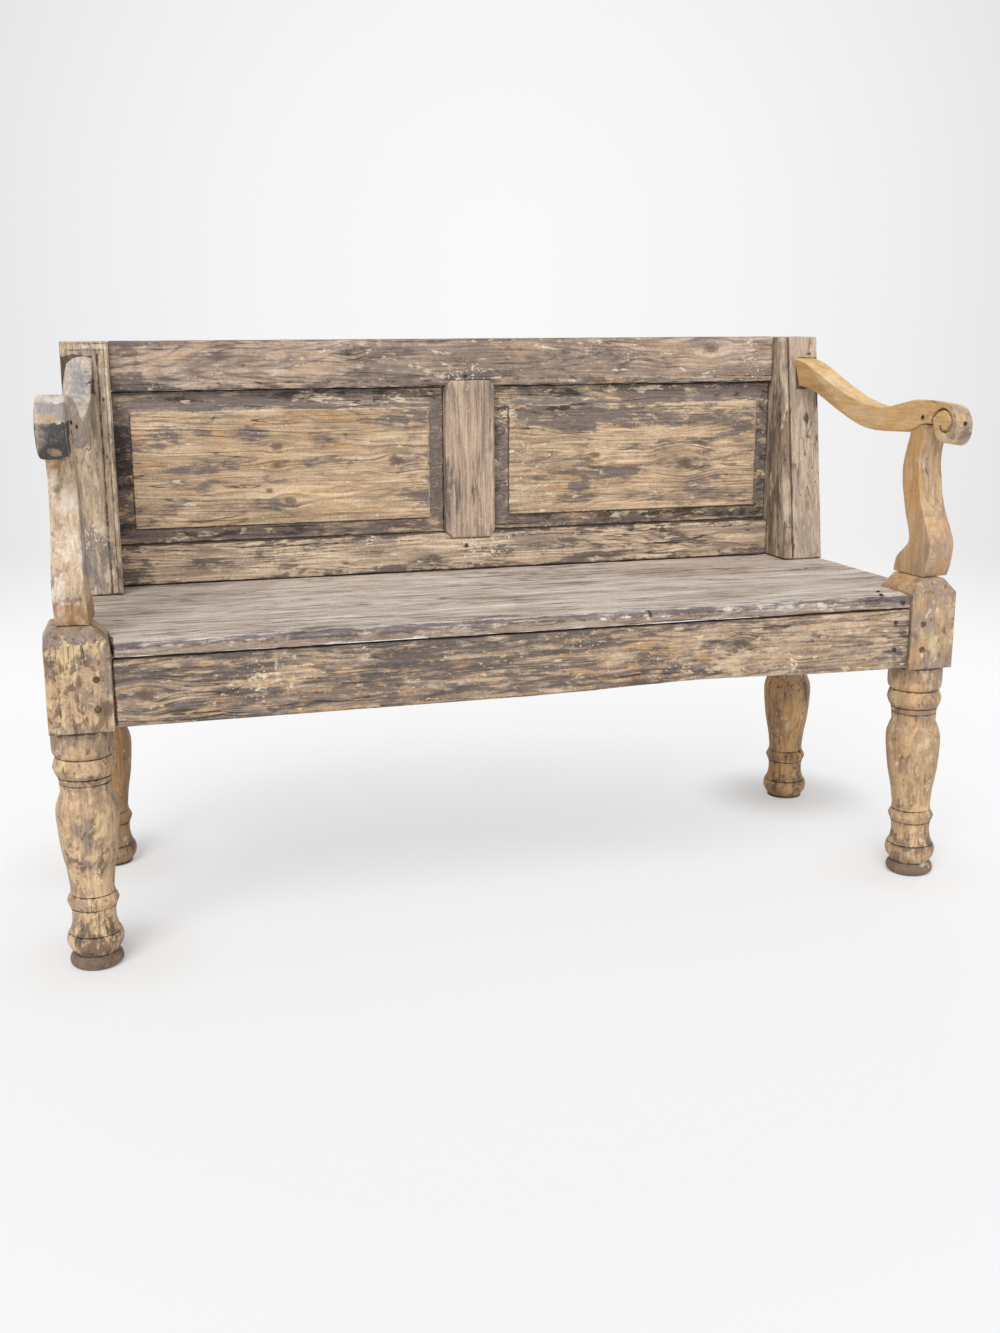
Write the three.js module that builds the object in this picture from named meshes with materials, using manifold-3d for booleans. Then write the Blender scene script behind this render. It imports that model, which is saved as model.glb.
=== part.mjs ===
// Deacon's bench in weathered pine: four turned legs with square blocks, tenoned aprons, a plank seat,
// a framed back with two raised panels between wedge shaped posts, and scrolled arms on shaped supports.
// Millimetres. X runs along the bench, Y from the front to the back and Z up.
// The origin is on the floor under the middle of the bench.

import * as THREE from 'three';
import { mergeVertices } from 'three/addons/utils/BufferGeometryUtils.js';
import Module from 'manifold-3d';

const wasm = await Module();
wasm.setup();

// Overall sizes
const frameLength = 1244;
const benchDepth = 514;
const benchHeight = 880;
const fitGap = 0.3;
const overrun = 6;
const sides = [-1, 1];

// Legs
const leftBlockWidth = 90;
const rightBlockWidth = 80;
const frontBlockDepth = 102;
const frontLegSetback = 46;
const rearBlockWidth = 88;
const rearBlockDepth = 87;
const rearLegInset = 18.5;
const rearLegShift = 10;
const turningHeight = 357;
const turningRadius = 44;
const rearTurningDrop = 18;
const rightFootDrift = 4;
const rightFootAdvance = 13;
const rearFootDrift = 4;
const blockTopRise = 21;
const blockInnerChamfer = 24;
const blockOuterChamfer = 12;
const blockFrontChamfer = 20;
const turningFacets = 28;

// Aprons
const apronLift = 4;
const apronHeight = 97;
const apronThickness = 24;
const frontApronSetback = 2;
const tenonThickness = 12;
const apronTenonLength = 36;
const tenonShoulder = 13;
const rearTenonHaunch = 28;

// Seat
const seatThickness = 24;
const seatFrontRound = 9;
const seatFrontReach = 54;
const seatRearReach = 40;
const seatOverhang = 8;

// Back posts
const postWidth = 75;
const postReach = 38;
const postFootDepth = 140;
const postHeadDepth = 84;
const postHeadDrop = 1;
const postBeadOffset = 17;
const postBeadWidth = 3;
const postBeadDepth = 2;
const postTenonWidth = 30;
const postTenonDepth = 40;
const postTenonLength = 46;

// Back rails, muntin and panels
const railFaceToBack = 64;
const railThickness = 36;
const topRailHeight = 80;
const bottomRailHeight = 66;
const railMouldHeight = 10;
const railMouldDepth = 4;
const railTenonLength = 28;
const railTenonSetback = 12;
const muntinWidth = 88;
const muntinOffset = 13;
const muntinProud = 3;
const muntinLap = 10;
const muntinLapThickness = 12;
const muntinTenonLength = 30;
const muntinTenonWidth = 50;
const grooveDepth = 8;
const tongueThickness = 8;
const tongueSetback = 14;
const fieldSetback = 5;
const fieldSideMargin = 28;
const fieldTopMargin = 35;
const fieldBottomMargin = 27;
const fieldBevel = 22;

// Arms
const armOverhang = 26;
const leftArmDrop = 15;
const rightArmDrop = 38;
const leftArmDip = 132;
const rightArmDip = 112;
const leftArmInset = 19;
const rightArmInset = 26;
const leftRootThickness = 51;
const rightRootThickness = 43;
const leftScrollThickness = 41;
const rightScrollThickness = 33;
const leftArmSplayDegrees = 7.3;
const rightArmSplayDegrees = 6.5;
const rightArmCantDegrees = 10;
const armTenonLength = 34;
const armTenonHeight = 28;
const armTenonThickness = 18;
const armTenonDrop = 14;
const armFacetTiltDegrees = 10;
const voluteWidth = 4;
const voluteDepth = 4;
const leftLobeRadius = 43;
const rightLobeRadius = 27.5;
const leftLobeRise = 0.5;
const rightLobeRise = 10.5;
const leftLobeDrop = 90;
const rightLobeDrop = 93.5;
const leftThroatDegrees = -160;
const rightThroatDegrees = -188;

// Arm supports
const supportBackset = 12.5;
const supportDepth = 80;
const leftSupportLap = 14.6;
const rightSupportLap = 17.6;
const leftFootInner = -8;
const leftHeadInner = 2.5;
const leftFootOuter = 39;
const leftHeadOuter = 39;
const rightFootInner = -1;
const rightHeadInner = 1;
const rightFootOuter = 48;
const rightHeadOuter = 45;
const supportTenonLength = 30;
const supportTenonDepth = 26;
const supportTenonThickness = 16;
const supportTenonOut = 18;

// Pegs and nails
const pegRadius = 5;
const pegLength = 30;
const pegProud = 1;
const pegInset = 22;
const lowerPegRise = 30;
const upperPegRise = 72;
const nailHeadRadius = 3.5;
const nailHeadHeight = 1.6;
const nailShankRadius = 1.6;
const nailLength = 18;
const nailFacets = 12;
const muntinNailShift = -8;
const topMuntinNailSetback = 7;
const bottomMuntinNailSetback = 14;
const apronNailInset = 28;
const lowerApronNailRise = 33;
const upperApronNailRise = 77;
const seatEdgeNailInset = 18;
const seatEdgeNailDrop = 12;
const frontSeatNailInset = 50;
const frontSeatNailSetback = 14;
const rearSeatNailInset = 40;
const rearSeatNailSetback = 40;
const leftEyeNailBack = 18;
const leftEyeNailRise = 5;
const rightEyeNailBack = 53;
const rightEyeNailRise = 10;
const leftNeckNailBack = 80;
const leftNeckNailDrop = 5;
const scrollNailTurnDegrees = 15;
const scrollNailProud = 0.4;

// Places worked out from the sizes
const blockInnerX = frameLength / 2;
const apronBottom = turningHeight + apronLift;
const apronTop = apronBottom + apronHeight;
const seatBottom = apronTop + fitGap;
const seatTop = seatBottom + seatThickness;
const blockTop = seatTop + blockTopRise;
const rearLegY = benchDepth - rearBlockDepth / 2;
const rearBlockFront = benchDepth - rearBlockDepth;
const postOuterX = blockInnerX + postReach;
const postInnerX = postOuterX - postWidth;
const railFaceY = benchDepth - railFaceToBack;
const railBackY = railFaceY + railThickness;
const topRailBottom = benchHeight - topRailHeight;
const bottomRailBottom = seatTop + fitGap;
const bottomRailTop = bottomRailBottom + bottomRailHeight;
const supportFoot = blockTop + fitGap;
const seatFrontHalf = blockInnerX + seatFrontReach;
const seatRearHalf = blockInnerX + seatRearReach;

// What belongs to each end of the bench, which was shaped by hand and differs a little from the other.
const { degToRad } = THREE.MathUtils;
const frontBlockWidths = { left: leftBlockWidth, right: rightBlockWidth };
const frontFootDrifts = { left: { x: 0, y: 0 }, right: { x: rightFootDrift, y: -rightFootAdvance } };
const arms = {
  left: {
    topDrop: leftArmDrop, dip: leftArmDip, innerInset: leftArmInset, rootThickness: leftRootThickness,
    scrollThickness: leftScrollThickness, splay: degToRad(leftArmSplayDegrees), cant: 0,
  },
  right: {
    topDrop: rightArmDrop, dip: rightArmDip, innerInset: rightArmInset, rootThickness: rightRootThickness,
    scrollThickness: rightScrollThickness, splay: degToRad(rightArmSplayDegrees),
    cant: degToRad(rightArmCantDegrees),
  },
};
const scrolls = {
  left: {
    lobeRadius: leftLobeRadius, rise: leftLobeRise, drop: leftLobeDrop, throat: degToRad(leftThroatDegrees),
  },
  right: {
    lobeRadius: rightLobeRadius, rise: rightLobeRise, drop: rightLobeDrop,
    throat: degToRad(rightThroatDegrees),
  },
};
const supportLaps = { left: leftSupportLap, right: rightSupportLap };
const supportFaces = {
  left: {
    footInner: leftFootInner, headInner: leftHeadInner, footOuter: leftFootOuter, headOuter: leftHeadOuter,
  },
  right: {
    footInner: rightFootInner, headInner: rightHeadInner, footOuter: rightFootOuter,
    headOuter: rightHeadOuter,
  },
};
const muntinNailSetbacks = { top: topMuntinNailSetback, bottom: bottomMuntinNailSetback };

// The value of a pair that belongs to one end.
const of = (side, pair) => (side < 0 ? pair.left : pair.right);
const blockOuterX = (side) => blockInnerX + of(side, frontBlockWidths);
const rearLegX = (side) => side * (blockInnerX + rearLegInset) + rearLegShift;
const rearBlockInnerX = (side) => rearLegX(side) - side * (rearBlockWidth / 2);
const rearBlockOuterX = (side) => rearLegX(side) + side * (rearBlockWidth / 2);

const xAxis = new THREE.Vector3(1, 0, 0);
const yAxis = new THREE.Vector3(0, 1, 0);
const zAxis = new THREE.Vector3(0, 0, 1);

// Outlines as shares of the sizes named with them

// Runs of the leg turning from the floor up, as shares of turningHeight and turningRadius.
// A run is one smooth curve, and the runs meet at sharp corners.
const turningRunShares = [
  [[0, 0.73], [0.012, 0.84], [0.027, 0.87], [0.043, 0.83], [0.053, 0.73]],
  [[0.062, 0.72], [0.09, 0.88], [0.118, 0.92], [0.14, 0.875]],
  [[0.146, 0.83], [0.168, 0.76], [0.202, 0.705], [0.241, 0.715]],
  [[0.255, 0.75], [0.28, 0.834], [0.303, 0.75]],
  [[0.308, 0.727], [0.336, 0.705], [0.42, 0.784], [0.504, 0.909], [0.63, 1], [0.686, 0.966], [0.737, 0.807]],
  [[0.773, 0.795], [0.779, 0.852]],
  [[0.796, 0.852], [0.801, 0.83]],
  [[0.807, 0.886], [0.843, 0.995], [0.88, 0.909]],
  [[0.885, 0.886], [0.902, 0.975], [0.924, 0.995]],
];

// Upper edge of each arm from the post forward, as shares of its reach and dip.
const armTopShares = {
  left: [[0, 1], [0.07, 0.76], [0.18, 0.59], [0.28, 0.485], [0.39, 0.386], [0.52, 0.303], [0.6, 0.36],
    [0.7, 0.52], [0.79, 0.61]],
  right: [[0, 1], [0.09, 0.93], [0.25, 0.67], [0.4, 0.455], [0.53, 0.36], [0.63, 0.37], [0.78, 0.5]],
};

// Lower edge of each arm from the scroll back to the post, in the same shares.
const armUnderShares = {
  left: [[0.79, 0.19], [0.74, 0.11], [0.64, 0.03], [0.52, 0], [0.4, 0.06], [0.28, 0.174], [0.16, 0.326],
    [0.07, 0.47], [0, 0.57]],
  right: [[0.81, 0.15], [0.75, 0.047], [0.61, 0], [0.5, 0.015], [0.4, 0.11], [0.28, 0.28], [0.16, 0.464],
    [0.09, 0.53], [0, 0.56]],
};

// Ends of the flat cut on an arm's inner face near the post, in the same shares.
const armFacetShares = [[0.09, 0.93], [0.405, 0.107]];

// The carved volute from its outer end to its eye, as turns in degrees and shares of the lobe radius.
const voluteShares = [[156, 1.13], [108, 0.98], [72, 0.78], [36, 0.65], [2, 0.49], [-45, 0.36], [-110, 0.4]];
const scrollTurnStart = degToRad(100);

// Front edge of a support from its foot up and rear edge from its head down.
// Both are shares of its depth and height.
const supportFrontShares = [[0.75, 0], [0.85, 0.07], [0.915, 0.19], [0.89, 0.26], [0.65, 0.41], [0.5, 0.53],
  [0.42, 0.7], [0.41, 0.8], [0.5, 0.93], [0.62, 1.12]];
const supportRearShares = [[0.17, 1.12], [0.05, 0.92], [-0.07, 0.79], [-0.11, 0.68], [-0.06, 0.55],
  [0.11, 0.37], [0.23, 0.26], [0.19, 0.2], [0.03, 0.155], [-0.14, 0.1], [-0.2, 0.03], [-0.21, 0]];
const supportTenonShares = { foot: 0.4, head: 0.25 };
const seatSpreadShare = 0.5;

// Solids

// A closed geometry as a solid that can be joined and cut.
function solidOf(geometry) {
  const bare = geometry.clone();
  bare.deleteAttribute('normal');
  bare.deleteAttribute('uv');
  const merged = mergeVertices(bare);
  const corners = merged.index.array;
  const kept = [];
  for (let i = 0; i < corners.length; i += 3) {
    const [a, b, c] = corners.slice(i, i + 3);
    if (a !== b && b !== c && c !== a) kept.push(a, b, c);
  }
  const vertProperties = new Float32Array(merged.attributes.position.array);
  const triVerts = new Uint32Array(kept);
  return new wasm.Manifold(new wasm.Mesh({ numProp: 3, vertProperties, triVerts }));
}

// A solid as a geometry.
function geometryOf(solid) {
  const mesh = solid.getMesh();
  const geometry = new THREE.BufferGeometry();
  geometry.setAttribute('position', new THREE.BufferAttribute(mesh.vertProperties, mesh.numProp));
  geometry.setIndex(new THREE.BufferAttribute(mesh.triVerts, 1));
  geometry.computeVertexNormals();
  return geometry;
}

// One solid from pieces of stock, less every cutter.
function carve(stock, cutters = []) {
  const whole = stock.map(solidOf).reduce((body, piece) => body.add(piece));
  return geometryOf(cutters.map(solidOf).reduce((body, cutter) => body.subtract(cutter), whole));
}

// What two solids share.
function common(first, second) {
  return geometryOf(solidOf(first).intersect(solidOf(second)));
}

// The room that a piece takes with the fitting gap all round.
// It is eight copies of the piece, moved to the corners of the gap.
function room(geometry) {
  const copies = [];
  for (const x of sides) {
    for (const y of sides) {
      for (const z of sides) copies.push(geometry.clone().translate(x * fitGap, y * fitGap, z * fitGap));
    }
  }
  return copies;
}

// Basic shapes

// A box between two corners given in any order.
function boxBetween(first, second) {
  const box = new THREE.Box3().setFromPoints([new THREE.Vector3(...first), new THREE.Vector3(...second)]);
  const size = box.getSize(new THREE.Vector3());
  const middle = box.getCenter(new THREE.Vector3());
  return new THREE.BoxGeometry(size.x, size.y, size.z).translate(middle.x, middle.y, middle.z);
}

// A prism with its outline drawn along two directions, half of its depth on each side of the origin.
function prism(outline, { origin, across, up, depth }) {
  const shape = new THREE.Shape(outline.map(([a, b]) => new THREE.Vector2(a, b)));
  const along = new THREE.Vector3().crossVectors(across, up);
  const geometry = new THREE.ExtrudeGeometry(shape, { depth, bevelEnabled: false });
  geometry.translate(0, 0, -depth / 2);
  geometry.applyMatrix4(new THREE.Matrix4().makeBasis(across, up, along).setPosition(origin));
  return geometry;
}

// A prism with a side outline of Y and Z, from one X to another.
function sidePrism(outline, x0, x1) {
  const origin = new THREE.Vector3((x0 + x1) / 2, 0, 0);
  return prism(outline, { origin, across: yAxis, up: zAxis, depth: Math.abs(x1 - x0) });
}

// A prism with a front outline of X and Z, from one Y to another.
function frontPrism(outline, y0, y1) {
  const origin = new THREE.Vector3(0, (y0 + y1) / 2, 0);
  return prism(outline, { origin, across: xAxis, up: zAxis, depth: Math.abs(y1 - y0) });
}

// A prism with a plan outline of X and Y, from one Z to another.
function planPrism(outline, z0, z1) {
  const origin = new THREE.Vector3(0, 0, (z0 + z1) / 2);
  return prism(outline, { origin, across: xAxis, up: yAxis, depth: Math.abs(z1 - z0) });
}

// A smooth open curve through points, with two steps for each stretch.
function smooth(points) {
  const curve = new THREE.SplineCurve(points.map(([a, b]) => new THREE.Vector2(a, b)));
  const stretches = points.length - 1;
  return curve.getPoints(stretches * 2).map((point) => [point.x, point.y]);
}

// A round pin along any direction, with a profile of radius and height that starts and ends on its axis.
function pin(profile, at, out, facets) {
  const geometry = new THREE.LatheGeometry(profile.map(([r, h]) => new THREE.Vector2(r, h)), facets);
  const turn = new THREE.Quaternion().setFromUnitVectors(yAxis, out);
  geometry.applyQuaternion(turn);
  return geometry.translate(at.x, at.y, at.z);
}

// Legs

// The turned part, with its foot on the floor and its head running up inside the block.
// A drift moves the foot sideways and lets the turning lean.
function turning(x, y, drop, drift) {
  const profile = turningRunShares.flatMap((run) => {
    const points = run.map(([height, radius]) => [radius * turningRadius, height * turningHeight - drop]);
    return run.length > 2 ? smooth(points) : points;
  }).filter(([, height]) => height >= 0);
  const headRadius = profile.at(-1)[0];
  const top = turningHeight - drop;
  const outline = [[0, 0], [profile[0][0], 0], ...profile.slice(drop > 0 ? 0 : 1)];
  outline.push([headRadius, top], [headRadius - overrun, top + overrun], [0, top + overrun]);
  const upright = pin(outline, new THREE.Vector3(x, y, 0), zAxis, turningFacets);
  const lean = new THREE.Matrix4().makeShear(0, 0, 0, 0, -drift.x / top, -drift.y / top);
  return upright.applyMatrix4(lean).translate(drift.x, drift.y, 0);
}

// A front block with its head chamfered towards the front and both sides.
function frontBlock(side) {
  const inner = blockInnerX;
  const outer = blockOuterX(side);
  const face = [
    [inner, turningHeight], [outer, turningHeight], [outer, seatTop],
    [outer - blockOuterChamfer, blockTop], [inner + blockInnerChamfer, blockTop], [inner, seatTop],
  ];
  const profile = [
    [0, turningHeight], [frontBlockDepth, turningHeight], [frontBlockDepth, blockTop],
    [blockFrontChamfer, blockTop], [0, seatTop],
  ];
  return common(
    frontPrism(face.map(([x, z]) => [side * x, z]), -overrun, frontBlockDepth + overrun),
    sidePrism(profile, side * (inner - overrun), side * (outer + overrun)),
  );
}

function frontLeg(side) {
  const cutters = [
    ...room(frontApronTenon(side)), ...room(sideApronTenon(side, 'front')),
    ...room(supportFootTenon(side)), ...pegPlaces(side).map(pegHole),
  ];
  const middle = (blockInnerX + blockOuterX(side)) / 2;
  const turned = turning(side * middle, frontLegSetback, 0, of(side, frontFootDrifts));
  return carve([frontBlock(side), turned], cutters);
}

function rearLeg(side) {
  const foot = turningHeight - rearTurningDrop;
  const block = boxBetween(
    [rearBlockInnerX(side), rearBlockFront, foot], [rearBlockOuterX(side), benchDepth, apronTop],
  );
  const cutters = [
    ...room(rearApronTenon(side)), ...room(sideApronTenon(side, 'rear')), ...room(postFootTenon(side)),
  ];
  const turned = turning(rearLegX(side), rearLegY, rearTurningDrop, { x: rearFootDrift, y: 0 });
  return carve([block, turned], cutters);
}

// Aprons

// A tenon on an end of the front apron.
function frontApronTenon(side) {
  const y = frontApronSetback + (apronThickness - tenonThickness) / 2;
  return boxBetween(
    [side * (blockInnerX - overrun), y, apronBottom + tenonShoulder],
    [side * (blockInnerX + apronTenonLength), y + tenonThickness, apronTop - tenonShoulder],
  );
}

// A tenon on an end of the rear apron, low enough to clear the foot of the post.
function rearApronTenon(side) {
  const shoulder = rearBlockInnerX(side);
  const y = benchDepth - frontApronSetback - (apronThickness - tenonThickness) / 2;
  return boxBetween(
    [shoulder - side * overrun, y, apronBottom + tenonShoulder],
    [shoulder + side * apronTenonLength, y - tenonThickness, apronTop - rearTenonHaunch],
  );
}

// Outer face of a side apron, which follows the end of the seat.
function apronOuterAt(y) {
  const share = (y - frontBlockDepth) / (benchDepth - frontBlockDepth);
  return THREE.MathUtils.lerp(seatFrontHalf, seatRearHalf, share) - seatOverhang;
}

// A slat of a side apron's plan between two depths, inset by the same amount on each face.
function sideApronSlat(side, y0, y1, inset, z0, z1) {
  const outline = [
    [apronOuterAt(y0) - inset, y0], [apronOuterAt(y1) - inset, y1],
    [apronOuterAt(y1) - apronThickness + inset, y1], [apronOuterAt(y0) - apronThickness + inset, y0],
  ];
  return planPrism(outline.map(([x, y]) => [side * x, y]), z0, z1);
}

// A tenon on one end of a side apron.
function sideApronTenon(side, end) {
  const inset = (apronThickness - tenonThickness) / 2;
  const foot = apronBottom + tenonShoulder;
  const head = apronTop - rearTenonHaunch;
  if (end === 'front') {
    const y = frontBlockDepth;
    return sideApronSlat(side, y - apronTenonLength, y + overrun, inset, foot, head);
  }
  const y = rearBlockFront;
  return sideApronSlat(side, y - overrun, y + apronTenonLength, inset, foot, head);
}

function frontApron() {
  const end = blockInnerX - fitGap;
  const board = boxBetween(
    [-end, frontApronSetback, apronBottom], [end, frontApronSetback + apronThickness, apronTop],
  );
  const holes = [...sides.flatMap(pegPlaces).map(pegHole), ...apronNailPlaces().map(nailHole)];
  return carve([board, ...sides.map(frontApronTenon)], holes);
}

function rearApron() {
  const [left, right] = sides.map((side) => rearBlockInnerX(side) - side * fitGap);
  const back = benchDepth - frontApronSetback;
  const board = boxBetween([left, back - apronThickness, apronBottom], [right, back, apronTop]);
  return carve([board, ...sides.map(rearApronTenon)]);
}

function sideApron(side) {
  const board = sideApronSlat(
    side, frontBlockDepth + fitGap, rearBlockFront - fitGap, 0, apronBottom, apronTop,
  );
  return carve([board, sideApronTenon(side, 'front'), sideApronTenon(side, 'rear')]);
}

// Seat

// One wide plank, worn round along its front edge and notched round the front blocks.
function seat() {
  const round = [];
  const steps = 4;
  for (let i = 0; i <= steps; i += 1) {
    const turn = (Math.PI / 2) * (i / steps);
    round.push([
      seatFrontRound * (1 - Math.sin(turn)),
      seatTop - seatFrontRound * (1 - Math.cos(turn)),
    ]);
  }
  const profile = [[0, seatBottom], [benchDepth, seatBottom], [benchDepth, seatTop], ...round];
  const plan = [
    [-seatFrontHalf, -overrun], [seatFrontHalf, -overrun], [seatFrontHalf, frontBlockDepth],
    [seatRearHalf, benchDepth + fitGap], [-seatRearHalf, benchDepth + fitGap],
    [-seatFrontHalf, frontBlockDepth],
  ];
  const plank = common(
    sidePrism(profile, -seatFrontHalf - overrun, seatFrontHalf + overrun),
    planPrism(plan, seatBottom - overrun, seatTop + overrun),
  );
  const notches = sides.map((side) => boxBetween(
    [side * (blockInnerX - fitGap), -overrun, seatBottom - overrun],
    [side * (seatFrontHalf + overrun), frontBlockDepth + fitGap, seatTop + overrun],
  ));
  const cutters = [
    ...notches, ...sides.flatMap((side) => room(postFootTenon(side))),
    ...seatNailPlaces().map(nailHole),
  ];
  return carve([plank], cutters);
}

// Back posts

// Front face of a post at a height: it leans back from the seat to the head.
function postFrontAt(z) {
  const share = (z - seatTop - fitGap) / (benchHeight - postHeadDrop - seatTop - fitGap);
  return benchDepth - THREE.MathUtils.lerp(postFootDepth, postHeadDepth, share);
}

function postWedge(side) {
  const foot = seatTop + fitGap;
  const head = benchHeight - postHeadDrop;
  const profile = [
    [postFrontAt(foot), foot], [benchDepth, foot], [benchDepth, head], [postFrontAt(head), head],
  ];
  return sidePrism(profile, side * postInnerX, side * postOuterX);
}

// The tenon that runs through the seat into the rear block, midway along what the two share.
function postFootTenon(side) {
  const inner = Math.max(postInnerX, side * rearBlockInnerX(side));
  const outer = Math.min(postOuterX, side * rearBlockOuterX(side));
  const middle = (inner + outer) / 2;
  return boxBetween(
    [side * (middle - postTenonWidth / 2), rearLegY - postTenonDepth / 2, seatTop - postTenonLength],
    [side * (middle + postTenonWidth / 2), rearLegY + postTenonDepth / 2, seatTop + overrun],
  );
}

// The scratched line along the front face, near the inner edge.
function postBead(side) {
  const foot = seatTop - overrun;
  const head = benchHeight + overrun;
  const outline = [
    [postFrontAt(foot) - overrun, foot], [postFrontAt(foot) + postBeadDepth, foot],
    [postFrontAt(head) + postBeadDepth, head], [postFrontAt(head) - overrun, head],
  ];
  const x = postInnerX + postBeadOffset;
  return sidePrism(outline, side * x, side * (x + postBeadWidth));
}

function post(side) {
  const grooveFace = railFaceY + tongueSetback;
  const groove = boxBetween(
    [side * (postInnerX - overrun), grooveFace - fitGap, bottomRailTop - grooveDepth],
    [side * (postInnerX + grooveDepth), grooveFace + tongueThickness + fitGap, topRailBottom + grooveDepth],
  );
  const cutters = [
    groove, postBead(side), ...room(railTenon(side, 'top')), ...room(railTenon(side, 'bottom')),
    ...room(armTenon(side)),
  ];
  return carve([postWedge(side), postFootTenon(side)], cutters);
}

// Back rails, muntin and panels

const rails = {
  top: { bottom: topRailBottom, top: benchHeight },
  bottom: { bottom: bottomRailBottom, top: bottomRailTop },
};

// A tenon on an end of a rail.
function railTenon(side, name) {
  const rail = rails[name];
  const y = railFaceY + railTenonSetback;
  return boxBetween(
    [side * (postInnerX - overrun), y, rail.bottom + tenonShoulder],
    [side * (postInnerX + railTenonLength), y + tenonThickness, rail.top - tenonShoulder],
  );
}

// The bevel worked along the edge of a rail, where it meets the panels.
function railMould(edge, inward) {
  const slope = railMouldDepth / railMouldHeight;
  const outline = [
    [railFaceY, edge + inward * railMouldHeight],
    [railFaceY + railMouldDepth + slope * overrun, edge - inward * overrun],
    [railFaceY - overrun, edge - inward * overrun],
    [railFaceY - overrun, edge + inward * railMouldHeight],
  ];
  return sidePrism(outline, -postOuterX, postOuterX);
}

// The groove along the edge of a rail, which takes the tongues of the panels.
function railGroove(edge, inward) {
  const face = railFaceY + tongueSetback;
  return boxBetween(
    [-postInnerX - overrun, face - fitGap, edge + inward * grooveDepth],
    [postInnerX + overrun, face + tongueThickness + fitGap, edge - inward * overrun],
  );
}

function rail(name) {
  const { bottom, top } = rails[name];
  const edge = name === 'top' ? bottom : top;
  const inward = name === 'top' ? 1 : -1;
  const end = postInnerX - fitGap;
  const board = boxBetween([-end, railFaceY, bottom], [end, railBackY, top]);
  const tenons = sides.map((side) => railTenon(side, name));
  const cutters = [
    railMould(edge, inward), railGroove(edge, inward), ...room(muntinLapBoard()), ...room(muntinTenon()),
    nailHole(muntinNailPlace(name)),
  ];
  return carve([carve([board], cutters), ...tenons]);
}

// The front layer of the muntin, which laps over both rails with its corners clipped.
function muntinLapBoard() {
  const half = muntinWidth / 2;
  const flat = half - muntinLap;
  const outline = [
    [-half, bottomRailTop], [-flat, bottomRailTop - muntinLap], [flat, bottomRailTop - muntinLap],
    [half, bottomRailTop], [half, topRailBottom], [flat, topRailBottom + muntinLap],
    [-flat, topRailBottom + muntinLap], [-half, topRailBottom],
  ];
  const face = railFaceY - muntinProud;
  const placed = outline.map(([x, z]) => [muntinOffset + x, z]);
  return frontPrism(placed, face, face + muntinLapThickness);
}

// One tenon through the whole height of the muntin and into both rails.
function muntinTenon() {
  const y = railFaceY + railTenonSetback;
  return boxBetween(
    [muntinOffset - muntinTenonWidth / 2, y, bottomRailTop - muntinTenonLength],
    [muntinOffset + muntinTenonWidth / 2, y + tenonThickness, topRailBottom + muntinTenonLength],
  );
}

function muntin() {
  const half = muntinWidth / 2;
  const board = boxBetween(
    [muntinOffset - half, railFaceY - muntinProud, bottomRailTop + fitGap],
    [muntinOffset + half, railBackY, topRailBottom - fitGap],
  );
  const face = railFaceY + tongueSetback;
  const grooves = sides.map((side) => boxBetween(
    [muntinOffset + side * (half + overrun), face - fitGap, bottomRailTop - overrun],
    [muntinOffset + side * (half - grooveDepth), face + tongueThickness + fitGap, topRailBottom + overrun],
  ));
  const holes = [nailHole(muntinNailPlace('top')), nailHole(muntinNailPlace('bottom'))];
  return carve([board, muntinLapBoard(), muntinTenon()], [...grooves, ...holes]);
}

// A panel with a raised field, a sloping bevel round it and a tongue in the grooves.
function panel(side) {
  const muntinEdge = muntinOffset + side * (muntinWidth / 2);
  const [left, right] = [muntinEdge, side * postInnerX].sort((a, b) => a - b);
  const reach = grooveDepth - fitGap;
  const tongueFace = railFaceY + tongueSetback;
  const tongueBack = tongueFace + tongueThickness;
  const fieldFace = railFaceY + fieldSetback;
  const tongue = boxBetween(
    [left - reach, tongueFace, bottomRailTop - reach], [right + reach, tongueBack, topRailBottom + reach],
  );
  const field = {
    left: left + fieldSideMargin, right: right - fieldSideMargin,
    bottom: bottomRailTop + fieldBottomMargin, top: topRailBottom - fieldTopMargin,
  };
  const upright = [
    [fieldFace, field.bottom], [tongueFace, field.bottom - fieldBevel],
    [tongueBack, field.bottom - fieldBevel], [tongueBack, field.top + fieldBevel],
    [tongueFace, field.top + fieldBevel], [fieldFace, field.top],
  ];
  const plan = [
    [field.left, fieldFace], [field.left - fieldBevel, tongueFace], [field.left - fieldBevel, tongueBack],
    [field.right + fieldBevel, tongueBack], [field.right + fieldBevel, tongueFace], [field.right, fieldFace],
  ];
  const raised = common(
    sidePrism(upright, left, right), planPrism(plan, bottomRailTop, topRailBottom),
  );
  return carve([tongue, raised]);
}

// Arms

const armTop = (side) => benchHeight - of(side, arms).topDrop;
const armRootY = (side) => postFrontAt(armTop(side));
const armReach = (side) => (armRootY(side) + armOverhang) / Math.cos(of(side, arms).splay);

function forward(side) {
  const { splay } = of(side, arms);
  return new THREE.Vector3(side * Math.sin(splay), -Math.cos(splay), 0);
}

function outward(side) {
  const { splay } = of(side, arms);
  return new THREE.Vector3(side * Math.cos(splay), Math.sin(splay), 0);
}

// A point in the plane of an arm: forward from the post, out from the inner face, and up from the floor.
function armPlace(side, reach, out, height) {
  return new THREE.Vector3(side * (postInnerX + of(side, arms).innerInset), armRootY(side), height)
    .addScaledVector(forward(side), reach)
    .addScaledVector(outward(side), out);
}

// A prism with an outline of reach and height in the plane of an arm, between two distances outward.
function armPrism(side, outline, out0, out1) {
  const origin = armPlace(side, 0, (out0 + out1) / 2, 0);
  return prism(outline, { origin, across: forward(side), up: zAxis, depth: out1 - out0 });
}

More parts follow.
